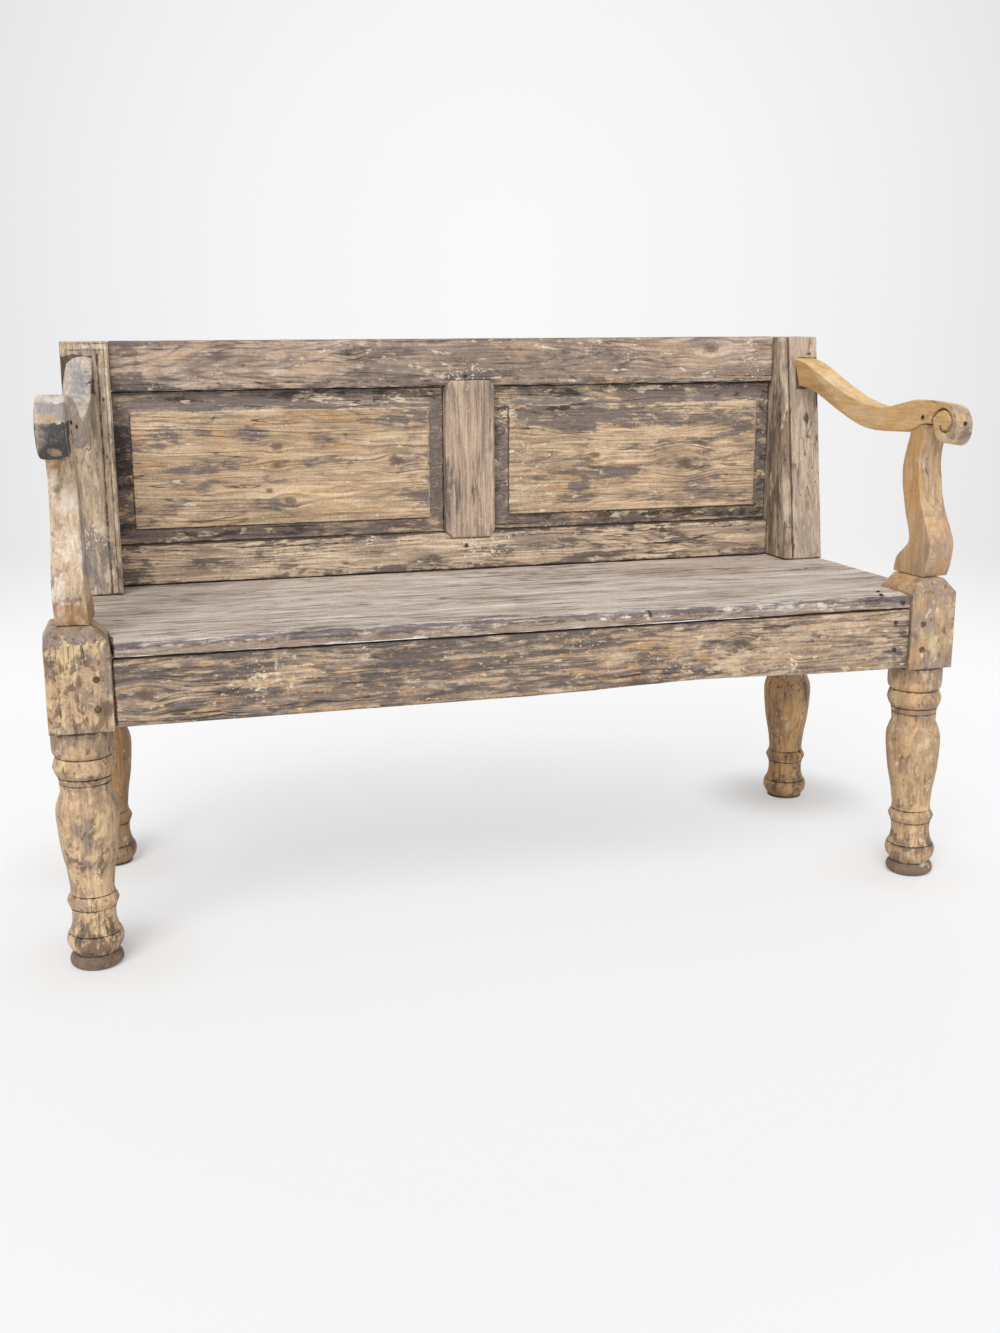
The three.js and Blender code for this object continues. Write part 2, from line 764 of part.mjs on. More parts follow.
// A box in the plane of an arm.
function armBox(side, [reach0, out0, z0], [reach1, out1, z1]) {
  return armPrism(side, [[reach0, z0], [reach1, z0], [reach1, z1], [reach0, z1]], out0, out1);
}

// A body with an outline of reach and height, each corner placed by its own rule.
// The rule takes the share of the way from the inner face to the outer one.
function armBody(side, outline, placeAt) {
  const shape = new THREE.Shape(outline.map(([reach, height]) => new THREE.Vector2(reach, height)));
  const geometry = new THREE.ExtrudeGeometry(shape, { depth: 1, bevelEnabled: false });
  const corners = geometry.attributes.position;
  for (let i = 0; i < corners.count; i += 1) {
    const far = side < 0 ? corners.getZ(i) : 1 - corners.getZ(i);
    const spot = placeAt(corners.getX(i), corners.getY(i), far);
    corners.setXYZ(i, spot.x, spot.y, spot.z);
  }
  return geometry;
}

// A place in an arm, which gets thinner towards the scroll and may cant down on its outer side there.
function armSpot(side, reach, height, far) {
  const { rootThickness, scrollThickness, cant } = of(side, arms);
  const share = Math.max(0, reach / armReach(side));
  const out = far * THREE.MathUtils.lerp(rootThickness, scrollThickness, share);
  return armPlace(side, reach, out, height - out * Math.tan(cant) * share * share);
}

const armShare = (side) => ([reach, rise]) => [
  reach * armReach(side), armTop(side) - of(side, arms).dip * (1 - rise),
];

const lobeCentre = (side) => [
  armReach(side) - of(side, scrolls).lobeRadius, armTop(side) - of(side, scrolls).drop,
];

// A point on the scroll: a round lobe that opens out above into the upper edge of the arm.
function lobePoint(side, turn) {
  const { lobeRadius, rise } = of(side, scrolls);
  const [reach, height] = lobeCentre(side);
  const radius = lobeRadius + rise * Math.max(0, turn / scrollTurnStart);
  return [reach + radius * Math.cos(turn), height + radius * Math.sin(turn)];
}

// The underside of an arm from the front of its scroll back to the post.
function armUnderside(side) {
  const { throat } = of(side, scrolls);
  const steps = 14;
  const scroll = [];
  for (let i = 0; i <= steps; i += 1) scroll.push(lobePoint(side, throat * (i / steps)));
  const lower = smooth(of(side, armUnderShares).map(armShare(side)));
  return [...scroll, ...lower, [-overrun, lower.at(-1)[1]]];
}

function armOutline(side) {
  const upper = smooth([...of(side, armTopShares).map(armShare(side)), lobePoint(side, scrollTurnStart)]);
  const steps = 8;
  const scroll = [];
  for (let i = 1; i < steps; i += 1) scroll.push(lobePoint(side, scrollTurnStart * (1 - i / steps)));
  return [[-overrun, upper[0][1]], ...upper, ...scroll, ...armUnderside(side)];
}

function armTenon(side) {
  const middle = of(side, arms).rootThickness / 2;
  const head = armTop(side) - armTenonDrop;
  return armBox(
    side,
    [-armTenonLength, middle - armTenonThickness / 2, head - armTenonHeight],
    [overrun * 2, middle + armTenonThickness / 2, head],
  );
}

// The flat cut that thins the arm on its lower inner side, deepest at the post.
function armFacet(side) {
  const ends = armFacetShares.map(armShare(side)).map(([reach, height]) => armPlace(side, reach, 0, height));
  const run = new THREE.Vector3().subVectors(ends[1], ends[0]);
  const width = of(side, arms).dip;
  const out = outward(side);
  const down = new THREE.Vector3().crossVectors(run, out).normalize();
  if (down.z > 0) down.negate();
  const tilt = degToRad(armFacetTiltDegrees);
  const outline = [[0, 0], [width, width * Math.tan(tilt)], [width, -overrun], [0, -overrun]];
  const origin = new THREE.Vector3().addVectors(ends[0], ends[1]).multiplyScalar(1 / 2);
  return prism(outline, { origin, across: down, up: out, depth: run.length() + width * 2 });
}

// The carved line of the scroll on the inner face, as a band that winds in towards the eye.
function armVolute(side) {
  const { lobeRadius } = of(side, scrolls);
  const [reach, height] = lobeCentre(side);
  const outer = [];
  const inner = [];
  for (const [degrees, share] of smooth(voluteShares)) {
    const turn = degToRad(degrees);
    const at = (radius) => [reach + radius * Math.cos(turn), height + radius * Math.sin(turn)];
    outer.push(at(lobeRadius * share + voluteWidth / 2));
    inner.unshift(at(lobeRadius * share - voluteWidth / 2));
  }
  return armPrism(side, [...outer, ...inner], -overrun, voluteDepth);
}

function arm(side) {
  const blank = armBody(side, armOutline(side), (reach, height, far) => armSpot(side, reach, height, far));
  const shaped = carve([blank], [
    ...room(postWedge(side)), armFacet(side), armVolute(side), ...room(supportHeadTenon(side)),
    ...armNailPlaces(side).map(nailHole),
  ]);
  return carve([shaped, armTenon(side)]);
}

// Arm supports

const supportRearReach = (side) => (
  (armRootY(side) - frontBlockDepth + supportBackset) / Math.cos(of(side, arms).splay)
);

const supportHead = (side) => armTop(side) - of(side, arms).dip + of(side, supportLaps);

const supportShare = (side) => ([depth, rise]) => [
  supportRearReach(side) + supportDepth * depth,
  THREE.MathUtils.lerp(supportFoot, supportHead(side), rise),
];

// A place in a support, whose faces run straight from the foot to the head.
function supportSpot(side, reach, height, far) {
  const faces = of(side, supportFaces);
  const up = (height - supportFoot) / (supportHead(side) - supportFoot);
  const inner = THREE.MathUtils.lerp(faces.footInner, faces.headInner, up);
  const outer = THREE.MathUtils.lerp(faces.footOuter, faces.headOuter, up);
  return armPlace(side, reach, THREE.MathUtils.lerp(inner, outer, far), height);
}

// A tenon on an end of a support, between two heights.
function supportTenon(side, share, z0, z1) {
  const reach = supportRearReach(side) + supportDepth * share;
  return armBox(
    side,
    [reach - supportTenonDepth / 2, supportTenonOut - supportTenonThickness / 2, z0],
    [reach + supportTenonDepth / 2, supportTenonOut + supportTenonThickness / 2, z1],
  );
}

function supportFootTenon(side) {
  return supportTenon(side, supportTenonShares.foot, supportFoot - supportTenonLength, supportFoot + overrun);
}

function supportHeadTenon(side) {
  const head = supportHead(side);
  const share = supportTenonShares.head;
  return supportTenon(side, share, head - supportTenonLength, head + supportTenonLength / 2);
}

// The head is cut to the underside of the arm, with all that lies over the underside taken away.
function support(side) {
  const front = smooth(supportFrontShares.map(supportShare(side)));
  const rear = smooth(supportRearShares.map(supportShare(side)));
  const blank = armBody(side, [...front, ...rear], (reach, height, far) => (
    supportSpot(side, reach, height, far)
  ));
  const ceiling = armTop(side) + of(side, arms).dip;
  const over = [[-overrun, ceiling], [armReach(side), ceiling], ...armUnderside(side)];
  const above = armBody(side, over, (reach, height, far) => (
    armSpot(side, reach, height, THREE.MathUtils.lerp(-seatSpreadShare, 1 + seatSpreadShare, far))
  ));
  const seated = carve([blank], room(above));
  return carve([seated, supportFootTenon(side), supportHeadTenon(side)]);
}

// Pegs and nails

// A place on a face, with the direction that points out of the wood there.
const place = (x, y, z, out) => ({ at: new THREE.Vector3(x, y, z), out });
const towardsFront = yAxis.clone().negate();

function pegPlaces(side) {
  const x = side * (blockInnerX + pegInset);
  return [lowerPegRise, upperPegRise].map((rise) => place(x, 0, apronBottom + rise, towardsFront));
}

function apronNailPlaces() {
  const x = blockInnerX - apronNailInset;
  return [lowerApronNailRise, upperApronNailRise].map((rise) => (
    place(x, frontApronSetback, apronBottom + rise, towardsFront)
  ));
}

function muntinNailPlace(name) {
  const setback = muntinLap + muntinNailSetbacks[name];
  const z = name === 'top' ? topRailBottom + setback : bottomRailTop - setback;
  return place(muntinOffset + muntinNailShift, railFaceY, z, towardsFront);
}

function seatNailPlaces() {
  return [
    place(blockInnerX - seatEdgeNailInset, 0, seatTop - seatEdgeNailDrop, towardsFront),
    place(blockInnerX - frontSeatNailInset, frontSeatNailSetback, seatTop, zAxis),
    place(blockInnerX - rearSeatNailInset, rearSeatNailSetback, seatTop, zAxis),
  ];
}

// One nail on the inner face of each arm.
// There is one more at the neck on the left and on the scroll on the right.
function armNailPlaces(side) {
  const [reach, height] = lobeCentre(side);
  const inwards = outward(side).negate();
  if (side < 0) {
    return [
      { at: armPlace(side, reach - leftEyeNailBack, 0, height + leftEyeNailRise), out: inwards },
      { at: armPlace(side, reach - leftNeckNailBack, 0, height - leftNeckNailDrop), out: inwards },
    ];
  }
  const turn = degToRad(scrollNailTurnDegrees);
  const out = forward(side).multiplyScalar(Math.cos(turn));
  out.z = Math.sin(turn);
  return [
    { at: armPlace(side, reach - rightEyeNailBack, 0, height + rightEyeNailRise), out: inwards },
    { at: armSpot(side, ...lobePoint(side, turn), 1 / 2).addScaledVector(out, scrollNailProud), out },
  ];
}

const pegShank = pegLength - pegProud;

function pegHole({ at, out }) {
  const radius = pegRadius + fitGap;
  const foot = -pegShank - fitGap;
  return pin([[0, foot], [radius, foot], [radius, overrun], [0, overrun]], at, out, nailFacets);
}

function peg({ at, out }) {
  const profile = [
    [0, -pegShank], [pegRadius, -pegShank], [pegRadius, 0], [pegRadius - pegProud, pegProud], [0, pegProud],
  ];
  return carve([pin(profile, at, out, nailFacets)]);
}

function nailHole({ at, out }) {
  const radius = nailShankRadius + fitGap;
  const foot = -nailLength - fitGap;
  return pin([[0, foot], [radius, foot], [radius, overrun], [0, overrun]], at, out, nailFacets);
}

function nail({ at, out }) {
  const point = -nailLength + nailShankRadius * 2;
  const seated = at.clone().addScaledVector(out, fitGap);
  const profile = [
    [0, -nailLength], [nailShankRadius, point], [nailShankRadius, 0], [nailHeadRadius, 0],
    [nailHeadRadius, nailHeadHeight / 2], [nailHeadRadius / 2, nailHeadHeight], [0, nailHeadHeight],
  ];
  return carve([pin(profile, seated, out, nailFacets)]);
}

// The bench

// Every piece stands in a frame whose Y starts at the front of the leg blocks.
// The group moves that frame so that its origin is under the middle of the bench.
const bench = new THREE.Group();
bench.position.x = (blockOuterX(-1) - blockOuterX(1)) / 2;
bench.position.y = (armOverhang - benchDepth) / 2;

function add(name, geometry, look) {
  const mesh = new THREE.Mesh(geometry, new THREE.MeshStandardMaterial(look));
  mesh.name = name;
  bench.add(mesh);
}

const honeyPine = { color: '#b98d5a', roughness: 0.7, metalness: 0 };
const paintedPine = { color: '#8a755c', roughness: 0.75, metalness: 0 };
const greyPine = { color: '#a89a88', roughness: 0.8, metalness: 0 };
const darkPeg = { color: '#5b4632', roughness: 0.8, metalness: 0 };
const iron = { color: '#33302d', roughness: 0.6, metalness: 0.5 };

for (const side of sides) {
  const hand = side < 0 ? 'left' : 'right';
  add(`front_${hand}_leg`, frontLeg(side), honeyPine);
  add(`rear_${hand}_leg`, rearLeg(side), honeyPine);
  add(`${hand}_side_apron`, sideApron(side), paintedPine);
  add(`${hand}_post`, post(side), greyPine);
  add(`${hand}_panel`, panel(side), paintedPine);
  add(`${hand}_arm`, arm(side), honeyPine);
  add(`${hand}_arm_support`, support(side), honeyPine);
  pegPlaces(side).forEach((spot, i) => add(`${hand}_leg_peg_${i + 1}`, peg(spot), darkPeg));
  armNailPlaces(side).forEach((spot, i) => add(`${hand}_arm_nail_${i + 1}`, nail(spot), iron));
}
add('front_apron', frontApron(), paintedPine);
add('rear_apron', rearApron(), paintedPine);
add('seat', seat(), greyPine);
add('top_rail', rail('top'), paintedPine);
add('bottom_rail', rail('bottom'), paintedPine);
add('muntin', muntin(), paintedPine);
apronNailPlaces().forEach((spot, i) => add(`apron_nail_${i + 1}`, nail(spot), iron));
seatNailPlaces().forEach((spot, i) => add(`seat_nail_${i + 1}`, nail(spot), iron));
['top', 'bottom'].forEach((name) => add(`muntin_${name}_nail`, nail(muntinNailPlace(name)), iron));

export default bench;
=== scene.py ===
# %% [markdown]
# A deacon's bench in old pine. Four turned legs with square blocks carry an apron frame and a plank seat.
# Two wedge shaped posts hold a framed back with two raised panels, and two scrolled arms stand on shaped
# supports. Its solids come from the frame. Boards and turnings are modelled again in the place of their
# solids, carved pieces are worn copies of them, and pegs and nails stay as they are.

# %% Load the frame
from math import cos, pi, radians, sin

import bmesh
import bpy
from mathutils import Matrix, Vector


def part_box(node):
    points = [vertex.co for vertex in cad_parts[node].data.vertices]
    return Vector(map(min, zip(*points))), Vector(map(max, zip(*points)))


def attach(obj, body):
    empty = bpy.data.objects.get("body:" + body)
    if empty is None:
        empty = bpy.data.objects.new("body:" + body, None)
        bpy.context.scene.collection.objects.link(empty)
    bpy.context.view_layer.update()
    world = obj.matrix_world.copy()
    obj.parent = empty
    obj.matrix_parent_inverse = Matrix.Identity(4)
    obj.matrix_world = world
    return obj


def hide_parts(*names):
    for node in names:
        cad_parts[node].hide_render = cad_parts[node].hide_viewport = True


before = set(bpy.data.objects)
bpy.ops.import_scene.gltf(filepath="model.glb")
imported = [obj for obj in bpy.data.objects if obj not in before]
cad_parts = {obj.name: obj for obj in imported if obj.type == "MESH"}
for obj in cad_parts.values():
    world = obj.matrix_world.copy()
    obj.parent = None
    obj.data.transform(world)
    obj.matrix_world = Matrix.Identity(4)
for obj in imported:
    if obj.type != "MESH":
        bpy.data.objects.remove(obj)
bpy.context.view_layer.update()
MM = 0.001
print("nodes loaded:", len(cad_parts))

# %% [markdown]
# The camera stands in front of the left end, a little above the back rail, and looks down along the bench.
# Its place and turn were worked out from the corners of the bench, so that every edge falls where it should.

# %% Camera
CAMERA_PLACE = Vector((-0.6724, -2.3135, 0.9188))
CAMERA_YAW = -0.287
CAMERA_PITCH = -0.2307
CAMERA_ROLL = -0.0024
FOCAL_PIXELS = 1496.9
IMAGE_HEIGHT = 1333
SENSOR = 36

forward = Vector((
    -sin(CAMERA_YAW) * cos(CAMERA_PITCH), cos(CAMERA_YAW) * cos(CAMERA_PITCH), sin(CAMERA_PITCH)))
level = Vector((cos(CAMERA_YAW), sin(CAMERA_YAW), 0))
rise = level.cross(forward)
right = level * cos(CAMERA_ROLL) + rise * sin(CAMERA_ROLL)
up = rise * cos(CAMERA_ROLL) - level * sin(CAMERA_ROLL)

lens_data = bpy.data.cameras.new("camera")
lens_data.sensor_fit = "VERTICAL"
lens_data.sensor_height = SENSOR
lens_data.lens = FOCAL_PIXELS / IMAGE_HEIGHT * SENSOR
lens_data.clip_end = 200
camera = bpy.data.objects.new("camera", lens_data)
camera.matrix_world = Matrix.Translation(CAMERA_PLACE) @ Matrix((right, up, -forward)).transposed().to_4x4()
bpy.context.scene.collection.objects.link(camera)
bpy.context.scene.camera = camera
bpy.context.scene.view_settings.view_transform = "Standard"
print("lens", round(lens_data.lens, 2), "mm")

# %% [markdown]
# One function turns a hex colour into the linear numbers that the shaders use, and one adds a node. A feed
# goes to the inputs in order, a setting with a capital letter is an input by its name, and any other is a
# property of the node.

# %% Colours and nodes
def linear(code):
    channels = [int(code[i:i + 2], 16) / 255 for i in (1, 3, 5)]
    return [c / 12.92 if c <= 0.04045 else ((c + 0.055) / 1.055) ** 2.4 for c in channels] + [1.0]


def add(tree, kind, *feeds, stops=(), **settings):
    node = tree.nodes.new("ShaderNode" + kind)
    for name, value in settings.items():
        if name[0].islower():
            setattr(node, name, value)
    inputs = list(enumerate(feeds))
    inputs += [(name.replace("_", " "), value) for name, value in settings.items() if name[0].isupper()]
    for name, value in inputs:
        if isinstance(value, bpy.types.Node):
            value = value.outputs[0]
        if isinstance(value, bpy.types.NodeSocket):
            tree.links.new(value, node.inputs[name])
        elif value is not None:
            node.inputs[name].default_value = value
    if stops:
        while len(node.color_ramp.elements) < len(stops):
            node.color_ramp.elements.new(0.5)
        for element, (place, code) in zip(node.color_ramp.elements, stops):
            element.position = place
            element.color = linear(code)
    return node


def new_material(name):
    material = bpy.data.materials.new(name)
    material.use_nodes = True
    material.node_tree.nodes.clear()
    return material, material.node_tree


# %% [markdown]
# The stage is a plain pale floor and a pale world. The world lights the bench softly from all round with one
# even white, and only the camera and reflections see its gradient. The floor glows a little to the camera, so
# that shadows stay pale on it, but less near the four feet. It thins out to nothing a few metres away, so
# that no horizon shows.

# %% Stage
FLOOR_HALF = 30
SHADE_MIDDLE = (-0.1, -0.4, 0)
NEAR_LIFT, FAR_LIFT = 0.60, 0.85
LIFT_GROWS = (0.6, 1.3)
FLOOR_FADES = (2.0, 4.5)
FEET_MIDDLE = (0.005, 0.014, 0)
FEET_SPREAD = (0.655, 0.212, 0)
FOOT_SHADE = (0.05, 0.20)
FOOT_LIFT = 0.45
WORLD_LIGHT = 0.40

bpy.ops.object.select_all(action="DESELECT")
bpy.ops.mesh.primitive_plane_add(size=FLOOR_HALF * 2, location=(0, 0, 0))
floor = bpy.context.object
floor.name = "floor"
floor_material, tree = new_material("matt white floor")
spot = add(tree, "TexCoord").outputs["Object"]
offset = add(tree, "VectorMath", spot, SHADE_MIDDLE, operation="SUBTRACT")
reach = add(tree, "VectorMath", offset, operation="LENGTH").outputs["Value"]
paint = add(tree, "ValToRGB", add(tree, "Math", reach, 0.5, operation="MULTIPLY"),
            stops=[(0.0, "#f9f9f9"), (0.3, "#f8f8f8"), (0.55, "#fcfcfc"), (1.0, "#fdfdfd")])
shader = add(tree, "BsdfPrincipled", linear("#f1f1f1"), Roughness=0.9)
shader.inputs["Specular IOR Level"].default_value = 0.1
glow = add(tree, "Emission", paint, 1.0)
lift = add(tree, "MapRange", reach, *LIFT_GROWS, NEAR_LIFT, FAR_LIFT)
quarter = add(tree, "VectorMath", add(tree, "VectorMath", spot, FEET_MIDDLE, operation="SUBTRACT"),
              operation="ABSOLUTE")
to_foot = add(tree, "VectorMath", quarter, FEET_SPREAD, operation="DISTANCE").outputs["Value"]
near_foot = add(tree, "MapRange", to_foot, *FOOT_SHADE, FOOT_LIFT, 1, interpolation_type="SMOOTHSTEP")
lift = add(tree, "Math", lift, near_foot, operation="MULTIPLY")
lift = add(tree, "Math", add(tree, "LightPath").outputs["Is Camera Ray"], lift, operation="MULTIPLY")
lifted = add(tree, "MixShader", lift, shader, glow)
solid = add(tree, "MapRange", reach, *FLOOR_FADES, 1, 0, interpolation_type="SMOOTHSTEP")
add(tree, "OutputMaterial", add(tree, "MixShader", solid, add(tree, "BsdfTransparent"), lifted))
floor.data.materials.append(floor_material)

world = bpy.data.worlds.new("studio")
world.use_nodes = True
bpy.context.scene.world = world
tree = world.node_tree
tree.nodes.clear()
sight = add(tree, "TexCoord").outputs["Generated"]
BRIGHTEST = (0.283, 0.958, 0.04)
SLOW_BELOW = -0.3
offset = add(tree, "SeparateXYZ", add(tree, "VectorMath", sight, BRIGHTEST, operation="SUBTRACT"))
below = add(tree, "Math", offset.outputs[2], SLOW_BELOW, operation="MULTIPLY")
rise_share = add(tree, "Math", offset.outputs[2], below, operation="MAXIMUM")
offset = add(tree, "CombineXYZ", offset.outputs[0], offset.outputs[1], rise_share)
away = add(tree, "VectorMath", offset, operation="LENGTH").outputs["Value"]
backdrop = add(tree, "ValToRGB", away, stops=[
    (0.0, "#fafafa"), (0.16, "#f5f5f5"), (0.25, "#efefef"), (0.31, "#e9e9e9"), (0.37, "#e2e2e2"),
    (0.6, "#dadada")])
rays = add(tree, "LightPath")
seen = add(tree, "Math", rays.outputs["Is Camera Ray"], rays.outputs["Is Glossy Ray"], operation="MAXIMUM")
seen = add(tree, "Math", seen, rays.outputs["Is Transmission Ray"], operation="MAXIMUM")
soft_light = add(tree, "Background", linear("#ffffff"), WORLD_LIGHT)
shown = add(tree, "Background", backdrop, 1.0)
add(tree, "OutputWorld", add(tree, "MixShader", seen, soft_light, shown))
print("stage made")

# %% [markdown]
# Three sun lamps with wide discs stand for large soft boxes. A sun is as strong at one end of the bench as at
# the other, so the floor stays even. The strongest comes from high on the left and in front.

# %% Lamps
LAMPS = [
    ("key", 2.00, 35, (0.42, 0.75, -0.9)),
    ("front", 0.80, 70, (0.0, 1.0, -0.35)),
    ("rim", 0.30, 70, (-0.8, -0.5, -0.9)),
]
for name, strength, disc, towards in LAMPS:
    lamp_data = bpy.data.lights.new(name, "SUN")
    lamp_data.energy = strength
    lamp_data.angle = radians(disc)
    lamp = bpy.data.objects.new(name, lamp_data)
    lamp.rotation_euler = Vector(towards).to_track_quat("-Z", "Y").to_euler()
    bpy.context.scene.collection.objects.link(lamp)
print("lamps:", len(LAMPS))

# %% [markdown]
# The modelling helpers do what a hand does in the window: deselect, add a cube at its place, select faces or
# corners by where they are, slice with a plane, join, add a modifier and apply it, and give corners a weight.
# The slice keeps what lies behind the plane.

# %% Modelling helpers
def object_mode():
    if bpy.context.mode != "OBJECT":
        bpy.ops.object.mode_set(mode="OBJECT")
    bpy.ops.object.select_all(action="DESELECT")


def take(piece):
    object_mode()
    piece.select_set(True)
    bpy.context.view_layer.objects.active = piece


def board(name, low, high):
    object_mode()
    low, high = Vector(low), Vector(high)
    bpy.ops.mesh.primitive_cube_add(size=1, location=(low + high) / 2)
    piece = bpy.context.object
    piece.name = piece.data.name = name
    piece.scale = high - low
    bpy.ops.object.transform_apply(location=True, rotation=True, scale=True)
    return piece


def pick(piece, kind, test):
    if bpy.context.mode != "EDIT_MESH":
        take(piece)
        bpy.ops.object.mode_set(mode="EDIT")
    bpy.ops.mesh.select_mode(type=kind)
    bpy.ops.mesh.select_all(action="DESELECT")
    shape = bmesh.from_edit_mesh(piece.data)
    for corner in shape.verts if kind == "VERT" else ():
        corner.select = bool(test(corner.co))
    for edge in shape.edges if kind == "EDGE" else ():
        edge.select = all(test(corner.co) for corner in edge.verts)
    for face in shape.faces if kind == "FACE" else ():
        face.select = bool(test(face.calc_center_median(), face.normal))
    shape.select_flush_mode()
    bmesh.update_edit_mesh(piece.data)


def slice_off(piece, point, normal, keep=False):
    take(piece)
    bpy.ops.object.mode_set(mode="EDIT")
    bpy.ops.mesh.select_all(action="SELECT")
    bpy.ops.mesh.bisect(plane_co=point, plane_no=normal, use_fill=not keep, clear_outer=not keep)
    bpy.ops.object.mode_set(mode="OBJECT")


def join(first, *others):
    take(first)
    for other in others:
        other.select_set(True)
    bpy.ops.object.join()
    return first


def reshape(piece, name, kind, **settings):
    take(piece)
    modifier = piece.modifiers.new(name, kind)
    for setting, value in settings.items():
        setattr(modifier, setting, value)
    bpy.ops.object.modifier_apply(modifier=name)


def weigh(piece, name, weight):
    group = piece.vertex_groups.new(name=name)
    for corner in piece.data.vertices:
        amount = weight(corner.co)
        if amount > 0:
            group.add([corner.index], amount, "REPLACE")


# %% [markdown]
# Old pine has no sharp edge left. A worn piece is remeshed into small even faces, smoothed so that its edges
# round off, and pressed in a little by a slow noise, always inwards, so that it never grows past its solid.

# %% Wear
dents = bpy.data.textures.new("slow dents", "CLOUDS")
dents.noise_scale = 45 * MM
dents.noise_depth = 3


def wear(piece, grid, rounding=4, depth=0.9):
    reshape(piece, "even faces", "REMESH", mode="VOXEL", voxel_size=grid * MM)
    reshape(piece, "round edges", "SMOOTH", factor=0.5, iterations=rounding)
    reshape(piece, "dents", "DISPLACE", texture=dents, strength=depth * MM, mid_level=1.0)
    return piece


def finish(piece, nodes, look, angle=40):
    take(piece)
    bpy.ops.object.mode_set(mode="EDIT")
    bpy.ops.mesh.select_all(action="SELECT")
    bpy.ops.mesh.normals_make_consistent(inside=False)
    bpy.ops.object.mode_set(mode="OBJECT")
    bpy.ops.object.shade_smooth_by_angle(angle=radians(angle))
    piece.data.materials.clear()
    piece.data.materials.append(look)
    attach(piece, "root")
    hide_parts(*nodes)
    print(piece.name, len(piece.data.polygons), "faces")


# %% [markdown]
# The finishes. All of it is one kind of wood with a different past: the legs and arms were stripped and waxed
# to a honey colour, the seat and the posts weathered to silver grey, and the apron, rails and panels kept the
# remains of a slate coloured paint over a cream one.

# %% Shades of wood and paint
STRAW = ("#86705b", "#bfa284", "#dfc8a9")
DRIFTWOOD = ("#9c9087", "#c8bbb0", "#e2d9d0")
BARK = ("#776659", "#ad9786", "#cdb9a5")
SLATE = "#5c5552"
SOOT = "#37322f"
CREAM = "#e2d3b8"
OCHRE = "#c39763"
CHALK = "#d5cac0"
STAIN = "#735844"
# painted shade: the colour of the dark lines in joints, grooves and cracks
CREVICE_SHADE = "#3e332b"

# %% [markdown]
# Over the wood lie coats: grey weathering, slate paint, cream undercoat. A coat shows where a noise plus its
# marks passes a level, so a mark pushes it onto a place or off it, and the ragged edge still comes from the
# noise. A shade line is painted shade: a dark line that shows at its marks alone, laid into joints, grooves,
# cracks and the edges where parts meet. A blob is a round mark with a soft edge, a box has straight sides,
# and a volute is the carved line of a scroll.

# %% Marks and coats
SHADE_LINE_LEVEL = 0.85
VOLUTE_TURN = (radians(-45), radians(156))
VOLUTE_LINE = (0.0030, 0.0006)


def blob(centre, size, push, rough=1.0):
    return {"centre": centre, "size": size, "push": push, "rough": rough}


def box(centre, size, push, wander=0.02):
    return {"centre": centre, "size": size, "push": push, "wander": wander}


def volute(centre, radius, inner=0.38, outer=1.13, push=0.6):
    return {"centre": centre, "line": (inner * radius, outer * radius), "push": push}


def coat(colour, level, soft, cover, grain, *marks, follow=0.08, swirl=0.15, thick=0):
    return {"colour": colour, "level": level, "soft": soft, "cover": cover, "grain": grain, "marks": marks,
            "follow": follow, "swirl": swirl, "thick": thick}


# a shade line paints shade into a joint, groove or crack, in the crevice shade colour unless another is given
def shade_line(*marks, colour=CREVICE_SHADE, soft=0.12, cover=0.8):
    return coat(colour, SHADE_LINE_LEVEL, soft, cover, (9, 40), *marks)


def mark_mask(tree, place, mark, ragged):
    offset = add(tree, "VectorMath", place, mark["centre"], operation="SUBTRACT")
    if "line" in mark:
        parts = add(tree, "SeparateXYZ", offset)
        ahead = add(tree, "Math", parts.outputs[1], -1, operation="MULTIPLY")
        turn = add(tree, "Math", parts.outputs[2], ahead, operation="ARCTAN2")
        line = add(tree, "MapRange", turn, *VOLUTE_TURN, *mark["line"])
        out = add(tree, "VectorMath", add(tree, "VectorMath", offset, (0, 1, 1), operation="MULTIPLY"),
                  operation="LENGTH").outputs["Value"]
        beside = add(tree, "Math", add(tree, "Math", out, line, operation="SUBTRACT"), operation="ABSOLUTE")
        return add(tree, "MapRange", beside, *VOLUTE_LINE, 0, mark["push"])
    if "rough" in mark:
        shares = add(tree, "VectorMath", offset, [1 / size for size in mark["size"]], operation="MULTIPLY")
        far = add(tree, "VectorMath", shares, operation="LENGTH").outputs["Value"]
        stray = mark["rough"]
        outside, inside = 1.35, 0.65
    else:
        past = add(tree, "VectorMath", add(tree, "VectorMath", offset, operation="ABSOLUTE"), mark["size"],
                   operation="SUBTRACT")
        parts = add(tree, "SeparateXYZ", past)
        far = add(tree, "Math", parts.outputs[0], parts.outputs[1], operation="MAXIMUM")
        far = add(tree, "Math", far, parts.outputs[2], operation="MAXIMUM")
        stray = mark["wander"]
        outside = stray * 0.12 + 0.0004
        inside = -outside
    far = add(tree, "Math", far, add(tree, "Math", ragged, stray, operation="MULTIPLY"), operation="ADD")
    return add(tree, "MapRange", far, outside, inside, 0, mark["push"], interpolation_type="SMOOTHSTEP")


# %% [markdown]
# Every board is pine, sawn so that its growth rings show as long lines, one every 5 to 9 mm. The lines come
# from the sine of a noise that is stretched along the grain, and fine fibres and broad streaks vary them.
# Knots pull the lines round themselves. The coats lie over the wood in their order, then come the knots' dark
# hearts, chips of old paint, cracks along the grain and the relief.

# %% Pine
KNOT_HEART, CRACK_SHADE = "#54473e", "#40362e"
TONE_SPAN = (0.36, 0.69)


def stretch(along, long, across):
    return [long if axis == along else across for axis in "XYZ"]


